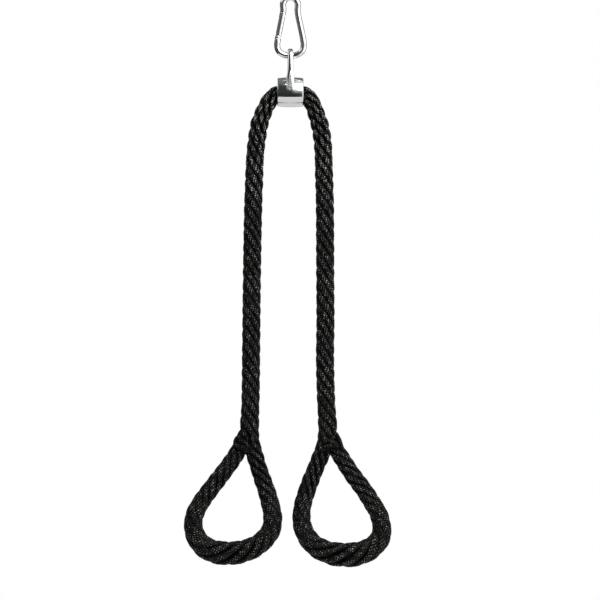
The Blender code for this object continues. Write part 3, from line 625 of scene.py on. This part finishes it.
def gate_mesh():
    """The gate's rod, forked at both ends and bored for the plunger and its spring."""
    bar_end = -GATE_R - OVERRUN
    eased = arc((GATE_R - GATE_EDGE, GATE_TOP - GATE_EDGE), GATE_EDGE, 90, 0, 5)
    rod = [(GATE_R, float(height)) for height in np.linspace(GATE_TOP - 2 * GATE_EDGE, GATE_R, GATE_RINGS)]
    profile = [(0, GATE_TOP), *eased, *rod, (GATE_R, bar_end), (0, bar_end)]
    # The fork's two ears are milled round about the rivet
    side = [*arc((0, 0), GATE_R + GAP / 6, 180, 360, 40), (2 * GATE_R, 2 * GATE_TOP), (-2 * GATE_R, 2 * GATE_TOP)]
    kept = [[GATE_FRAME @ Vector((x, y, z)) for x, z in side] for y in (-2 * GATE_R, 2 * GATE_R)]
    slot = TONGUE_THICKNESS + 2 * GAP
    low, high = GATE_R + OVERRUN, LOWER_SLOT_DEPTH
    top = UPPER_SLOT_DEPTH + OVERRUN
    bore = LOWER_SLOT_DEPTH - OVERRUN
    steps = [
        (KEEP, lofted(kept)),
        (CUT, block((4 * GATE_R, slot, low + high), in_gate(z=(high - low) / 2))),
        (CUT, block((4 * GATE_R, slot, top), in_gate(z=GATE_TOP + (OVERRUN - UPPER_SLOT_DEPTH) / 2))),
        (CUT, cylinder(BORE_R, BORE_TOP - bore, in_gate(z=(BORE_TOP + bore) / 2))),
    ]
    for radius, height in ((RIVET_R, 0), (LATCH_PIN_R, LATCH_PIN_HEIGHT)):
        steps.append((CUT, cylinder(radius + GAP / 3, 4 * GATE_R, in_gate(z=height) @ ACROSS)))
    for side in (-1, 1):
        place = in_gate(y=side * (GATE_R - EAR_FLAT_INSET + GATE_R / 2))
        steps.append((CUT, cylinder(RIVET_HEAD_R + GAP, GATE_R, place @ ACROSS)))
    return worked("gate_bar", turned(profile, GATE_FRAME, steps=64), steps, GATE_CUT_EDGE)


def rivet_mesh():
    """A rivet whose two ends were set into low domes."""
    head = GATE_R - EAR_FLAT_INSET + GAP / 4
    bow = (RIVET_HEAD_R**2 + RIVET_HEAD_HEIGHT**2) / (2 * RIVET_HEAD_HEIGHT)
    dome = []
    for share in np.linspace(0, 1, 9):
        radius = RIVET_HEAD_R * share
        dome.append((radius, head + RIVET_HEAD_HEIGHT - bow + math.sqrt(bow**2 - radius**2)))
    half = [*dome, (RIVET_R, head - GAP / 8)]
    profile = [*half, *flipped(half)]
    return worked("gate_rivet_set", turned(profile, in_gate() @ ACROSS, steps=48), [])


def pin_mesh():
    """The latch pin across the gate's upper fork."""
    reach = math.sqrt(GATE_R**2 - LATCH_PIN_R**2)
    edge = LATCH_PIN_R / 4
    half = [(0, reach), *arc((LATCH_PIN_R - edge, reach - edge), edge, 90, 0, 4)]
    profile = [*half, *flipped(half)]
    place = in_gate(z=LATCH_PIN_HEIGHT) @ ACROSS
    return worked("latch_pin_fine", turned(profile, place, steps=48), [])


def spring_mesh():
    """The coil in the gate's bore, wound up from the plunger's shoulder, and its two ends."""
    low = TONGUE_FLAT_HEIGHT + PLUNGER_HEAD_LENGTH + 2 * GAP + SPRING_WIRE_D / 2
    high = BORE_TOP - GAP - SPRING_WIRE_D / 2
    turns = round((high - low) / SPRING_PITCH)
    radius = BORE_R - GAP - SPRING_WIRE_D / 2
    angles = 2 * np.pi * np.arange(SPRING_SIDES) / SPRING_SIDES
    rings = []
    for share in np.linspace(0, 1, SPRING_RINGS * turns + 1):
        turn = Matrix.Rotation(2 * math.pi * turns * share, 3, "Z")
        out = radius + SPRING_WIRE_D / 2 * np.cos(angles)
        up = low + (high - low) * share + SPRING_WIRE_D / 2 * np.sin(angles)
        rings.append([GATE_FRAME @ (turn @ Vector((r, 0, z))) for r, z in zip(out, up)])
    mesh = lofted(rings)
    mesh.name = "spring_coil"
    mesh.shade_smooth()
    return mesh, in_gate(z=high).translation, in_gate(z=low + SPRING_PITCH).translation


def barrel_profile(extra=0.0):
    """(radius, height) down the collar's barrel-shaped outside, standing extra off it."""
    half = COLLAR_LENGTH / 2
    edge = COLLAR_OUTER_EDGE
    radius = COLLAR_D / 2 + extra
    heights = np.linspace(half - edge, edge - half, BARREL_RINGS)
    return [(radius - COLLAR_END_DROP * (height / half) ** 2, float(height)) for height in heights]


def collar_mesh():
    """The collar's tube, barrel-shaped outside, with eased ends and mouths."""
    half = COLLAR_LENGTH / 2
    side = barrel_profile()
    bore = COLLAR_D / 2 - COLLAR_WALL
    outer = arc((side[0][0] - COLLAR_OUTER_EDGE, side[0][1]), COLLAR_OUTER_EDGE, 90, 0, 10)
    mouth = arc((bore + COLLAR_MOUTH_EDGE, half - COLLAR_MOUTH_EDGE), COLLAR_MOUTH_EDGE, 180, 90, 10)
    profile = outer[:-1] + side + flipped(outer[:-1]) + flipped(mouth) + mouth
    return worked("collar_barrel", turned(profile, COLLAR_AXIS, steps=160, closed=True), [])


def bail_mesh():
    """The eye's bow, its two legs and their flattened feet on the collar, as one loft."""
    bow_r = (EYE_WIDTH_INSIDE + BAIL_THICKNESS) / 2
    bow_z = EYE_TOP_Z - EYE_WIDTH_INSIDE / 2
    wrap_r = COLLAR_D / 2 - BAIL_FOOT_SINK + BAIL_THICKNESS / 2
    lean = math.asin((wrap_r - bow_r) / (bow_z - COLLAR_Z))
    bow = arc((0, bow_z), bow_r, 90, math.degrees(lean), BAIL_STEPS)
    foot_angle = math.asin(BAIL_FOOT_HEIGHT / wrap_r)
    wrap = arc((0, COLLAR_Z), wrap_r, math.degrees(lean), math.degrees(foot_angle), 12)
    leg = [np.array(bow[-1]) + (np.array(wrap[0]) - bow[-1]) * k / BAIL_STEPS for k in range(1, BAIL_STEPS)]
    half = np.array([*bow, *leg, *wrap])
    line = np.array([*half[::-1], *(half[1:] * (-1, 1))])
    reach = np.abs(line[:, 1] - EYE_TOP_Z) / (EYE_TOP_Z - COLLAR_Z - BAIL_FOOT_HEIGHT)
    widths = BAIL_WIDTH + (BAIL_FOOT_WIDTH - BAIL_WIDTH) * read_off(BAIL_FLARE_SHARES, reach)
    powers = 2 / read_off(BAIL_SQUARENESS_SHARES, reach)
    ahead = unit(np.gradient(line, axis=0))
    angles = 2 * np.pi * (np.arange(BAIL_SIDES) + 0.5) / BAIL_SIDES
    cos, sin = np.cos(angles), np.sin(angles)
    rings = []
    for (y, z), (ty, tz), width, power in zip(line, ahead, widths, powers):
        across = np.sign(cos) * np.abs(cos) ** power * width / 2
        out = np.sign(sin) * np.abs(sin) ** power * BAIL_THICKNESS / 2
        rings.append(np.column_stack([across, y + out * tz, z - out * ty]))
    side = barrel_profile(GAP / 3)
    end = [(0, COLLAR_LENGTH), (side[0][0], COLLAR_LENGTH)]
    seat = turned([*end, *side, *flipped(end)], COLLAR_AXIS, steps=128)
    return worked("eye_bail_forged", lofted(rings), [(CUT, seat)], BAIL_EDGE)


def waver(lengths, strand, kind):
    """A slow, smooth and always the same unevenness along a strand."""
    seed, size, every = kind
    random = np.random.default_rng(seed + strand)
    value = np.zeros_like(lengths)
    for share in WAVER_SHARES:
        value += share * np.sin(2 * np.pi * (lengths / (every * share) + random.random()))
    return size * value / 2


def lay_strand(middle, outward, wide, high, along, turn, loose, groove, rope):
    """Rings of one strand with its twisted plies: (points, uv, crown), where crown is the mask of painted light and
    shade.
    """
    ahead = unit(np.gradient(middle, axis=0))
    outward = unit(outward - ahead * np.sum(outward * ahead, axis=1, keepdims=True))
    beside = np.cross(ahead, outward)
    angles = 2 * np.pi * np.arange(rope.strand_sides) / rope.strand_sides - np.pi / 2
    lobes = np.abs(np.cos(rope.plies / 2 * (angles[None] + turn[:, None])))
    parted = loose[:, None] ** PARTED_POWER * (lobes - 1)
    fullness = 1 + rope.ply_depth * parted
    across = fullness * np.cos(angles) * wide[:, None]
    out = fullness * np.sin(angles) * high[:, None]
    points = middle[:, None] + across[..., None] * beside[:, None] + out[..., None] * outward[:, None]
    around = np.broadcast_to(np.arange(rope.strand_sides) / rope.strand_sides, lobes.shape)
    uv = np.stack([np.broadcast_to(along[:, None], lobes.shape), around], axis=-1)
    # The crown mask: painted light on the strand's top, painted shade in its grooves and between its plies, less
    # painted light where strands are pressed, more where they are loose
    edge = CROWN_FROM + CROWN_FROM_OPEN * (groove[:, None] - 1)
    crown = np.clip((np.sin(angles) - edge) / (1 - edge), 0, 1) * np.clip(1 + PARTED_SHADE * parted, 0, 1)
    crown *= (loose**LOOSE_POWER * (1 - PRESSED_SHADE + PRESSED_SHADE * groove))[:, None]
    return points, uv, crown


def rope_strands(line, start, end, rope):
    """Grids of every strand of a stretch of rope, in their lay round its middle."""
    length = line[-1, 0]
    whole = np.arange(0, length, rope.ring_every)
    share = at_lengths(line, whole)[:, 2] / ROPE_D
    turned = np.cumsum(2 * np.pi * rope.ring_every / (rope.lay * share))
    loosened = read_off(LOOSE_SHARES, whole / length)
    ply_turned = np.cumsum(2 * np.pi * rope.ring_every / (rope.ply_lay * loosened))
    stops = np.linspace(start, end, int(round((end - start) / rope.ring_every)) + 1)
    turn, ply_turn, loose = (np.interp(stops, whole, values) for values in (turned, ply_turned, loosened))
    groove = read_off(GROOVE_SHARES, stops / length)
    x, z, thickness = at_lengths(line, stops).T
    inwards = read_off(SHOULDER_SETTLE, stops)
    x = x - SETTLE_ACROSS * inwards * np.sign(line[-1, 1])
    z = z - SETTLE_DOWN * inwards
    thickness = thickness * read_off(SHOULDER_SETTLE, stops, column=2)
    ahead = unit(np.gradient(np.column_stack([x, z]), axis=0))
    # The left-hand side of the rope's own travel, seen from the front, and the far side
    left = np.column_stack([-ahead[:, 1], 0 * x, ahead[:, 0]])
    far = np.array([0, 1, 0])
    middle = np.column_stack([x, 0 * x, z])
    radius = thickness / 2 * FULLNESS * read_off(SPLICE_BULK, stops)
    radius = radius * np.interp(stops, [length - TAIL_TAPER, length], [1, TAIL_END_SHARE])
    grids = []
    for k in range(rope.strands):
        angle = turn + 2 * np.pi * k / rope.strands + waver(stops, k, TURN_WAVER)
        outward = np.cos(angle)[:, None] * left + np.sin(angle)[:, None] * far
        high = radius * rope.strand_height * (1 + waver(stops, k, HEIGHT_WAVER))
        reach = radius - high
        wide = reach * math.sin(math.pi / rope.strands) * rope.strand_width
        wide = wide * (1 + LOOSE_WIDTH - LOOSE_WIDTH * loose) * (1 + waver(stops, k, WIDTH_WAVER))
        wide = wide * (1 + OPEN_WIDTH - OPEN_WIDTH * groove)
        place = middle + outward * reach[:, None]
        grids.append(lay_strand(place, outward, wide, high, stops, ply_turn + k, loose, groove, rope))
    # The heart closes the rope where its strands part in a bend; with no crown, it is drawn all in the grooves'
    # painted shade
    heart = radius * HEART_SHARE
    grids.append(lay_strand(middle, left, heart, heart, stops, ply_turn, 0 * loose, groove, rope))
    return grids


def tucked_strands(side, rope):
    """Grids of the strands tucked over a side's throat, on its front and its back."""
    grids = []
    for k, (half, *places) in enumerate(TUCKS[side]):
        line = smooth_line(np.array(places) * MILLIMETRE, axes=3)
        stops = np.linspace(0, line[-1, 0], int(line[-1, 0] / rope.ring_every) + 1)
        x, depth, z = at_lengths(line, stops).T
        high = half * MILLIMETRE * read_off(TUCK_TAPER, stops / stops[-1])
        turn = 2 * np.pi * stops / rope.ply_lay + k
        loose, groove = np.full_like(x, TUCK_LOOSE), np.ones_like(x)
        for face in (-1, 1):
            middle = np.column_stack([x, face * depth, z])
            outward = np.column_stack([x - SPLICE_MIDDLE[side], face * np.abs(depth), 0 * x])
            grids.append(lay_strand(middle, outward, high, high, stops + k, turn, loose, groove, rope))
    return grids


def add_piece(name, mesh, material):
    """A new piece of the object, in the scene, with its finish."""
    obj = add_object(name, mesh)
    mesh.materials.append(material)
    return obj


def add_steel(mesh, finish, body, node):
    """A steel piece on its body, in place of its node."""
    mesh.materials.clear()
    piece = add_piece(mesh.name, mesh, finish)
    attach(piece, body)
    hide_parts(node)


def rope_finish(rope):
    """Black multifilament polypropylene, extruded, twisted into plies and laid in strands, with painted shade near
    black in the grooves and broken grey painted glints where filaments turn towards the light on each crown."""
    material, add, shader = new_material("Laid polypropylene rope, black")
    along, around, _ = add("SeparateXYZ", [add("UVMap", uv_map="Strand")["UV"]])
    crown = add("Attribute", attribute_name="crown")["Fac"]
    place = add("TexCoord")["Object"]
    # Yarns cross in a check, as the two waves of it multiplied
    turns = round(STRAND_ROUND / YARN_DRAWN)
    check = 1.0
    for lean in (1, -1):
        phase = add("Math", (along, 2 * math.pi * lean / YARN_DRAWN), operation="MULTIPLY")[0]
        phase = add("Math", (around, 2 * math.pi * turns, phase), operation="MULTIPLY_ADD")[0]
        wave = add("Math", (phase,), operation="SINE")[0]
        check = add("MapRange", (wave, -1.0, 1.0, 0.0, check))["Result"]
    ragged, speckle, patchy = (
        add("TexNoise", {"Vector": place, "Scale": 1 / size, "Detail": detail})["Fac"]
        for size, detail in ((RAGGED_SIZE, 3.0), (SPECKLE_SIZE, 1.0), (PATCH_SIZE, 0.0))
    )
    ragged = add("Math", (ragged, RAGGED, -RAGGED / 2), operation="MULTIPLY_ADD")[0]
    height = add("Math", (crown, ragged), operation="ADD")[0]
    speckle = add("MapRange", (speckle, SPECKLE_FROM, SPECKLE_TO))["Result"]
    lit = add("Math", (height, HEIGHT_SHARE, speckle), operation="MULTIPLY_ADD")[0]
    lit = add("Math", (check, CHECK_SHARE, lit), operation="MULTIPLY_ADD")[0]
    lit = add("MapRange", (lit, LIT_FROM, LIT_TO))["Result"]
    patchy = add("MapRange", (patchy, PATCH_FROM, PATCH_TO, PATCH_LOW, 1.0))["Result"]
    lit = add("Math", (lit, patchy), operation="MULTIPLY")[0]
    # Painted shade and painted glints: the colour goes from the grooves' painted shade to the yarn's colour up the
    # crown, and near-white painted glints come in on its top
    crest = add("MapRange", (height, BODY_FROM, BODY_TO))["Result"]
    painted_glint = add("MapRange", (height, GLINT_FROM, GLINT_TO, 0.0, lit))["Result"]
    inputs = {"Factor": crest, 6: linear(rope.groove_shade_colour), 7: linear(rope.yarn_colour)}
    body = add("Mix", inputs, data_type="RGBA")[2]
    colour = add("Mix", {"Factor": painted_glint, 6: body, 7: linear(rope.painted_glint_colour)}, data_type="RGBA")[2]
    rough = add("MapRange", (speckle, 0.0, 1.0, ROPE_ROUGH, ROPE_ROUGH_LIT))["Result"]
    bump = add("Bump", {"Height": lit, "Strength": 0.8, "Distance": 0.5 * MILLIMETRE})["Normal"]
    set_inputs(shader, {"Base Color": colour, "Roughness": rough, "Normal": bump})
    set_inputs(shader, {"IOR": POLYPROPYLENE_IOR, "Specular IOR Level": 0.07})
    return material


def polished_steel(steel):
    """Forged steel, tumbled, plated and buffed: a mirror with the faint haze and ripple of the buffing."""
    material, add, shader = new_material("Buffed plated steel")
    place = add("TexCoord")["Object"]
    ripple, haze = (
        add("TexNoise", {"Vector": place, "Scale": 1 / size, "Detail": detail})["Fac"]
        for size, detail in ((RIPPLE_SIZE, 3.0), (HAZE_SIZE, 4.0))
    )
    rough = add("MapRange", (haze, 0.0, 1.0, steel.polish - HAZE_LESS, steel.polish + HAZE_MORE))["Result"]
    bump = add("Bump", {"Height": ripple, "Strength": 0.2, "Distance": 0.12 * MILLIMETRE})["Normal"]
    colour = linear(steel.steel_colour)
    set_inputs(shader, {"Base Color": colour, "Roughness": rough, "Normal": bump, "Metallic": 1})
    return material


def cast_steel(steel):
    """The bail's steel: buffed as the rest, but with the grey grain of the casting left on the flat of each foot,
    in a wedge that opens towards the collar, and a little down the middle of each leg."""
    material, add, shader = new_material("Plated steel with cast grain")
    place = add("TexCoord")["Object"]
    x, _, z = add("SeparateXYZ", [place])
    off_middle = add("Math", [x], operation="ABSOLUTE")[0]
    half = add("MapRange", (z, GRAIN_TOP_Z, GRAIN_LOW_Z, GRAIN_TOP_WIDTH / 2, GRAIN_LOW_WIDTH / 2))["Result"]
    inside = add("Math", (half, off_middle), operation="SUBTRACT")[0]
    across = add("MapRange", (inside, GRAIN_EDGE_OUT, GRAIN_EDGE_IN))["Result"]
    down = add("MapRange", (z, GRAIN_TOP_Z + GRAIN_FADE_ABOVE, GRAIN_TOP_Z + GRAIN_FADE_BELOW))["Result"]
    grainy = add("Math", (across, down), operation="MULTIPLY")[0]
    grain = add("TexNoise", {"Vector": place, "Scale": 1 / CAST_GRAIN_SIZE, "Detail": 3.0})["Fac"]
    rough = add("MapRange", (grainy, 0.0, 1.0, steel.polish, CAST_ROUGH))["Result"]
    height = add("Math", (grain, grainy), operation="MULTIPLY")[0]
    bump = add("Bump", {"Height": height, "Strength": 0.7, "Distance": 0.5 * MILLIMETRE})["Normal"]
    spots = add("MapRange", (grain, CAST_SPOT_FROM, CAST_SPOT_TO))["Result"]
    cast = add("Mix", {"Factor": spots, 6: linear(GRAIN_DARK), 7: linear(GRAIN_LIGHT)}, data_type="RGBA")[2]
    colour = add("Mix", {"Factor": grainy, 6: linear(steel.steel_colour), 7: cast}, data_type="RGBA")[2]
    set_inputs(shader, {"Base Color": colour, "Roughness": rough, "Normal": bump, "Metallic": 1})
    return material


def spring_wire(steel):
    """Drawn spring wire: a duller, darker steel than the plated pieces."""
    material, add, shader = new_material("Drawn spring wire")
    place = add("TexCoord")["Object"]
    grain = add("TexNoise", {"Vector": place, "Scale": 1 / DRAWN_LINE_SIZE, "Detail": 2.0})["Fac"]
    rough = add("MapRange", (grain, 0.0, 1.0, WIRE_ROUGH_LOW, WIRE_ROUGH_HIGH))["Result"]
    set_inputs(shader, {"Base Color": linear(steel.wire_colour), "Roughness": rough, "Metallic": 1})
    return material


class RopeSizes(bpy.types.PropertyGroup):
    """Strands and colours of the rope, with the colours of its painted groove shade and painted glints."""

    strands: IntProperty(name="Strands", description="Strands in the lay", default=6, min=3)
    lay: FloatProperty(name="Lay", description="Length of one turn of a strand", default=0.106, unit="LENGTH")
    plies: IntProperty(name="Plies", description="Plies in a strand", default=2, min=2)
    ply_lay: FloatProperty(
        name="Ply lay", description="Length of one turn of a ply in its strand", default=0.0205, unit="LENGTH"
    )
    ply_depth: FloatProperty(
        name="Ply depth", description="Share of a strand's thickness between plies", default=0.16, subtype="FACTOR"
    )
    strand_height: FloatProperty(
        name="Strand height", description="Half a strand's height, as a share of the rope's", default=0.36
    )
    strand_width: FloatProperty(
        name="Strand width", description="Strand's width as a share of its room round the rope", default=1.14
    )
    strand_sides: IntProperty(name="Strand sides", description="Faces round a strand", default=20)
    ring_every: FloatProperty(
        name="Ring spacing", description="Length of a strand's faces", default=0.0018, unit="LENGTH"
    )
    # Painted shade: the near-black colour drawn in the grooves between strands, where the strands shade each other
    groove_shade_colour: StringProperty(
        name="Groove painted shade", description="sRGB hex of the rope between strands", default="020302"
    )
    yarn_colour: StringProperty(
        name="Yarn colour", description="sRGB hex of the rope on a strand's crown", default="111210"
    )
    # Painted highlights: the near-white glints drawn on the strands' crowns
    painted_glint_colour: StringProperty(
        name="Painted glint colour", description="sRGB hex of filaments turned to the light", default="d6d6d2"
    )


class SteelSizes(bpy.types.PropertyGroup):
    """Finish of the steel."""

    steel_colour: StringProperty(name="Steel colour", description="sRGB hex of the plated steel", default="dadbdc")
    wire_colour: StringProperty(name="Wire colour", description="sRGB hex of the spring wire", default="8f9092")
    polish: FloatProperty(name="Polish", description="Roughness of the buffed steel", default=0.09, subtype="FACTOR")


class StageSizes(bpy.types.PropertyGroup):
    """Floor, lamps and camera."""

    floor_drop: FloatProperty(
        name="Floor drop", description="Height of the lower loop above the floor", default=0.18, unit="LENGTH"
    )
    key_power: FloatProperty(
        name="Key lamp", description="Power of the lamp at the upper right", default=30, unit="POWER"
    )
    side_power: FloatProperty(name="Side lamp", description="Power of the lamp at the right", default=7, unit="POWER")
    fill_power: FloatProperty(name="Fill lamp", description="Power of the lamp at the left", default=3, unit="POWER")
    around: FloatProperty(name="Room light", description="Strength of the light from all round", default=0.14)


class ATTACHMENT_OT_stage(bpy.types.Operator):
    """Make the camera, the lamps, the floor and the studio around"""

    bl_idname = "attachment.make_stage"
    bl_label = "Stage"

    def execute(self, context):
        stage = context.scene.attachment_stage
        scene = context.scene
        scene.view_settings.view_transform = "Standard"
        camera = bpy.data.cameras.new("Camera")
        camera.sensor_width = SENSOR_WIDTH
        camera.lens = SENSOR_WIDTH * CAMERA_AWAY / VIEW_WIDTH
        camera.clip_end = 4 * CAMERA_AWAY
        scene.camera = add_object("Camera", camera)
        scene.camera.location = Vector(VIEW_CENTRE) + Vector((0, -CAMERA_AWAY, 0))
        scene.camera.rotation_euler = (math.radians(90), 0, 0)
        for name, place, size, power in LAMPS:
            lamp = bpy.data.lights.new(name, "AREA")
            lamp.shape = "RECTANGLE"
            lamp.size, lamp.size_y = size
            lamp.energy = getattr(stage, power)
            obj = add_object(name, lamp)
            obj.location = Vector(VIEW_CENTRE) + Vector(place)
            obj.rotation_euler = (-Vector(place)).to_track_quat("-Z", "Y").to_euler()
            obj.visible_glossy = name != "Fill lamp"  # it would show in the steel as one window too many
        self.make_room(scene, stage)
        self.make_floor(stage)
        return {"FINISHED"}

    def make_room(self, scene, stage):
        """White to the eye. Steel sees a pale floor, a dark room over it, and pale walls and a softbox in it."""
        world = bpy.data.worlds.new("White studio")
        world.use_nodes = True
        scene.world = world
        add = functools.partial(add_node, world.node_tree)
        ray = add("LightPath")
        way = add("SeparateXYZ", [add("TexCoord")["Generated"]])

        def seen_share(share, fades):
            for axis, start, full in fades:
                fade = (way[axis], start, full, 0.0, share)
                share = add("MapRange", fade, interpolation_type="SMOOTHSTEP")["Result"]
            return share

        dark = seen_share(1.0, OVER_FLOOR)
        for place in WHITE_PLACES.values():
            dark = add("MapRange", (seen_share(*place), 0.0, 1.0, dark, 0.0))["Result"]
        shade = linear(ROOM_SHADE)
        for colour, *place in SHADED_PLACES.values():
            shade = add("Mix", {"Factor": seen_share(*place), 6: shade, 7: linear(colour)}, data_type="RGBA")[2]
        seen = add("Mix", {"Factor": dark, 6: WHITE, 7: shade}, data_type="RGBA")[2]
        inputs = {"Factor": ray["Is Glossy Ray"], 6: (*[stage.around] * 3, 1), 7: seen}
        light = add("Mix", inputs, data_type="RGBA")[2]
        plain = add("Math", (ray["Is Camera Ray"], ray["Is Transmission Ray"]), operation="MAXIMUM")[0]
        light = add("Mix", {"Factor": plain, 6: light, 7: WHITE}, data_type="RGBA")[2]
        set_inputs(world.node_tree.nodes["Background"], {"Color": light})

    def make_floor(self, stage):
        """A pale round floor, white to the eye but for the object's soft shadow."""
        mesh = bpy.data.meshes.new("Floor")
        work = bmesh.new()
        bmesh.ops.create_circle(work, cap_ends=True, segments=96, radius=FLOOR_R)
        work.to_mesh(mesh)
        work.free()
        material, add, shader = new_material("Pale painted floor")
        set_inputs(shader, {"Base Color": linear("e8e8e6"), "Roughness": 0.8})
        ray = add("LightPath")
        place = add("TexCoord")["Object"]
        away = add("VectorMath", [place], operation="LENGTH")["Value"]
        edge = add("MapRange", (away, FLOOR_SHADOW_SHARE * FLOOR_R, FLOOR_R, FLOOR_WHITE, 1.0))["Result"]
        seen = ray["Is Camera Ray"]
        for kind in ("Is Glossy Ray", "Is Transmission Ray"):
            seen = add("Math", (seen, ray[kind]), operation="MAXIMUM")[0]
        share = add("Math", (seen, edge), operation="MULTIPLY")[0]
        white = add("Emission", (WHITE, 1.0))[0]
        mixed = add("MixShader", (share, shader.outputs[0], white))[0]
        set_inputs(material.node_tree.nodes["Material Output"], {"Surface": mixed})
        mesh.materials.append(material)
        floor = add_object("Floor", mesh)
        floor.location = (VIEW_CENTRE[0], 0, CAD_BOX[0][2] - stage.floor_drop)


class ATTACHMENT_OT_rope(bpy.types.Operator):
    """Lay the rope's strands, from the collar down both legs and round both loops"""

    bl_idname = "attachment.lay_rope"
    bl_label = "Rope"

    def execute(self, context):
        rope = context.scene.attachment_rope
        finish = rope_finish(rope)
        for side in SIDES:
            line = rope_line(side)
            end = line[-1, 0]
            lower_end = line[np.argmin(np.abs(line[:, 2] - COLLAR_Z + LEG_DROP)), 0]
            leg_end = lower_end - WRIST_ABOVE
            leg, loop = f"{side}_leg", f"{side}_loop"
            for name, start, stop, bodies, bend, nodes in (
                (f"rope_upper_{side}", 0, LEG_SEAM, ("collar", leg), (ROPE_INSIDE, ROPE_INSIDE + ROPE_SHOULDER),
                 ("rope_centre", f"rope_shoulder_{side}", f"rope_leg_{side}")),
                (f"rope_lower_{side}", LEG_SEAM, end, (leg, loop), (leg_end, leg_end + ROPE_WRIST),
                 (f"rope_wrist_{side}", f"splice_{side}", f"hand_loop_{side}")),
            ):
                mesh = strand_mesh(name, rope_strands(line, start, stop, rope))
                piece = add_piece(name, mesh, finish)
                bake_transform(piece)
                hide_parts(*nodes)
            name = f"splice_tucks_{side}"
            tucks = add_piece(name, strand_mesh(name, tucked_strands(side, rope)), finish)
            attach(tucks, loop)
        return {"FINISHED"}


class ATTACHMENT_OT_hook(bpy.types.Operator):
    """Make the snap hook's bent wire and the rivet that its gate turns on"""

    bl_idname = "attachment.bend_hook"
    bl_label = "Hook"

    def execute(self, context):
        finish = polished_steel(context.scene.attachment_steel)
        add_steel(hook_mesh(), finish, "hook", "hook_body")
        add_steel(rivet_mesh(), finish, "hook", "gate_rivet")
        return {"FINISHED"}


class ATTACHMENT_OT_gate(bpy.types.Operator):
    """Make the snap hook's gate, its latch pin and its spring, and finish the plunger"""

    bl_idname = "attachment.hang_gate"
    bl_label = "Gate"

    def execute(self, context):
        steel = context.scene.attachment_steel
        finish = polished_steel(steel)
        add_steel(gate_mesh(), finish, "gate", "gate")
        add_steel(pin_mesh(), finish, "gate", "latch_pin")
        wire = spring_wire(steel)
        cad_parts["gate_plunger"].material_slots[0].material = wire
        mesh, seat, shoulder = spring_mesh()
        spring = add_piece("spring_coil", mesh, wire)
        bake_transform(spring)
        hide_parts("gate_spring")
        return {"FINISHED"}


class ATTACHMENT_OT_collar(bpy.types.Operator):
    """Make the collar round the rope and the eye bail on it"""

    bl_idname = "attachment.turn_collar"
    bl_label = "Collar"

    def execute(self, context):
        steel = context.scene.attachment_steel
        add_steel(collar_mesh(), polished_steel(steel), "collar", "collar")
        add_steel(bail_mesh(), cast_steel(steel), "collar", "eye_bail")
        return {"FINISHED"}


class ATTACHMENT_PT_panel(bpy.types.Panel):
    """Sizes, finishes and pieces of the rope attachment"""

    bl_label = "Rope attachment"
    bl_space_type = "VIEW_3D"
    bl_region_type = "UI"
    bl_category = "Rope attachment"

    def draw(self, context):
        for name in SETTINGS:
            sizes = getattr(context.scene, name)
            box = self.layout.box()
            for key in sizes.__annotations__:
                box.prop(sizes, key)
        for operator in OPERATORS:
            self.layout.operator(operator.bl_idname)


OPERATORS = (
    ATTACHMENT_OT_stage,
    ATTACHMENT_OT_rope,
    ATTACHMENT_OT_hook,
    ATTACHMENT_OT_gate,
    ATTACHMENT_OT_collar,
)
SETTINGS = {"attachment_stage": StageSizes, "attachment_rope": RopeSizes, "attachment_steel": SteelSizes}


def register():
    for kind in (*SETTINGS.values(), *OPERATORS, ATTACHMENT_PT_panel):
        bpy.utils.register_class(kind)
    for name, kind in SETTINGS.items():
        setattr(bpy.types.Scene, name, PointerProperty(type=kind))


def unregister():
    for name in SETTINGS:
        delattr(bpy.types.Scene, name)
    for kind in (ATTACHMENT_PT_panel, *reversed(OPERATORS), *reversed(SETTINGS.values())):
        bpy.utils.unregister_class(kind)


def main():
    register()
    bpy.ops.attachment.make_stage()
    bpy.ops.attachment.lay_rope()
    bpy.ops.attachment.bend_hook()
    bpy.ops.attachment.hang_gate()
    bpy.ops.attachment.turn_collar()


if __name__ == "__main__":
    main()
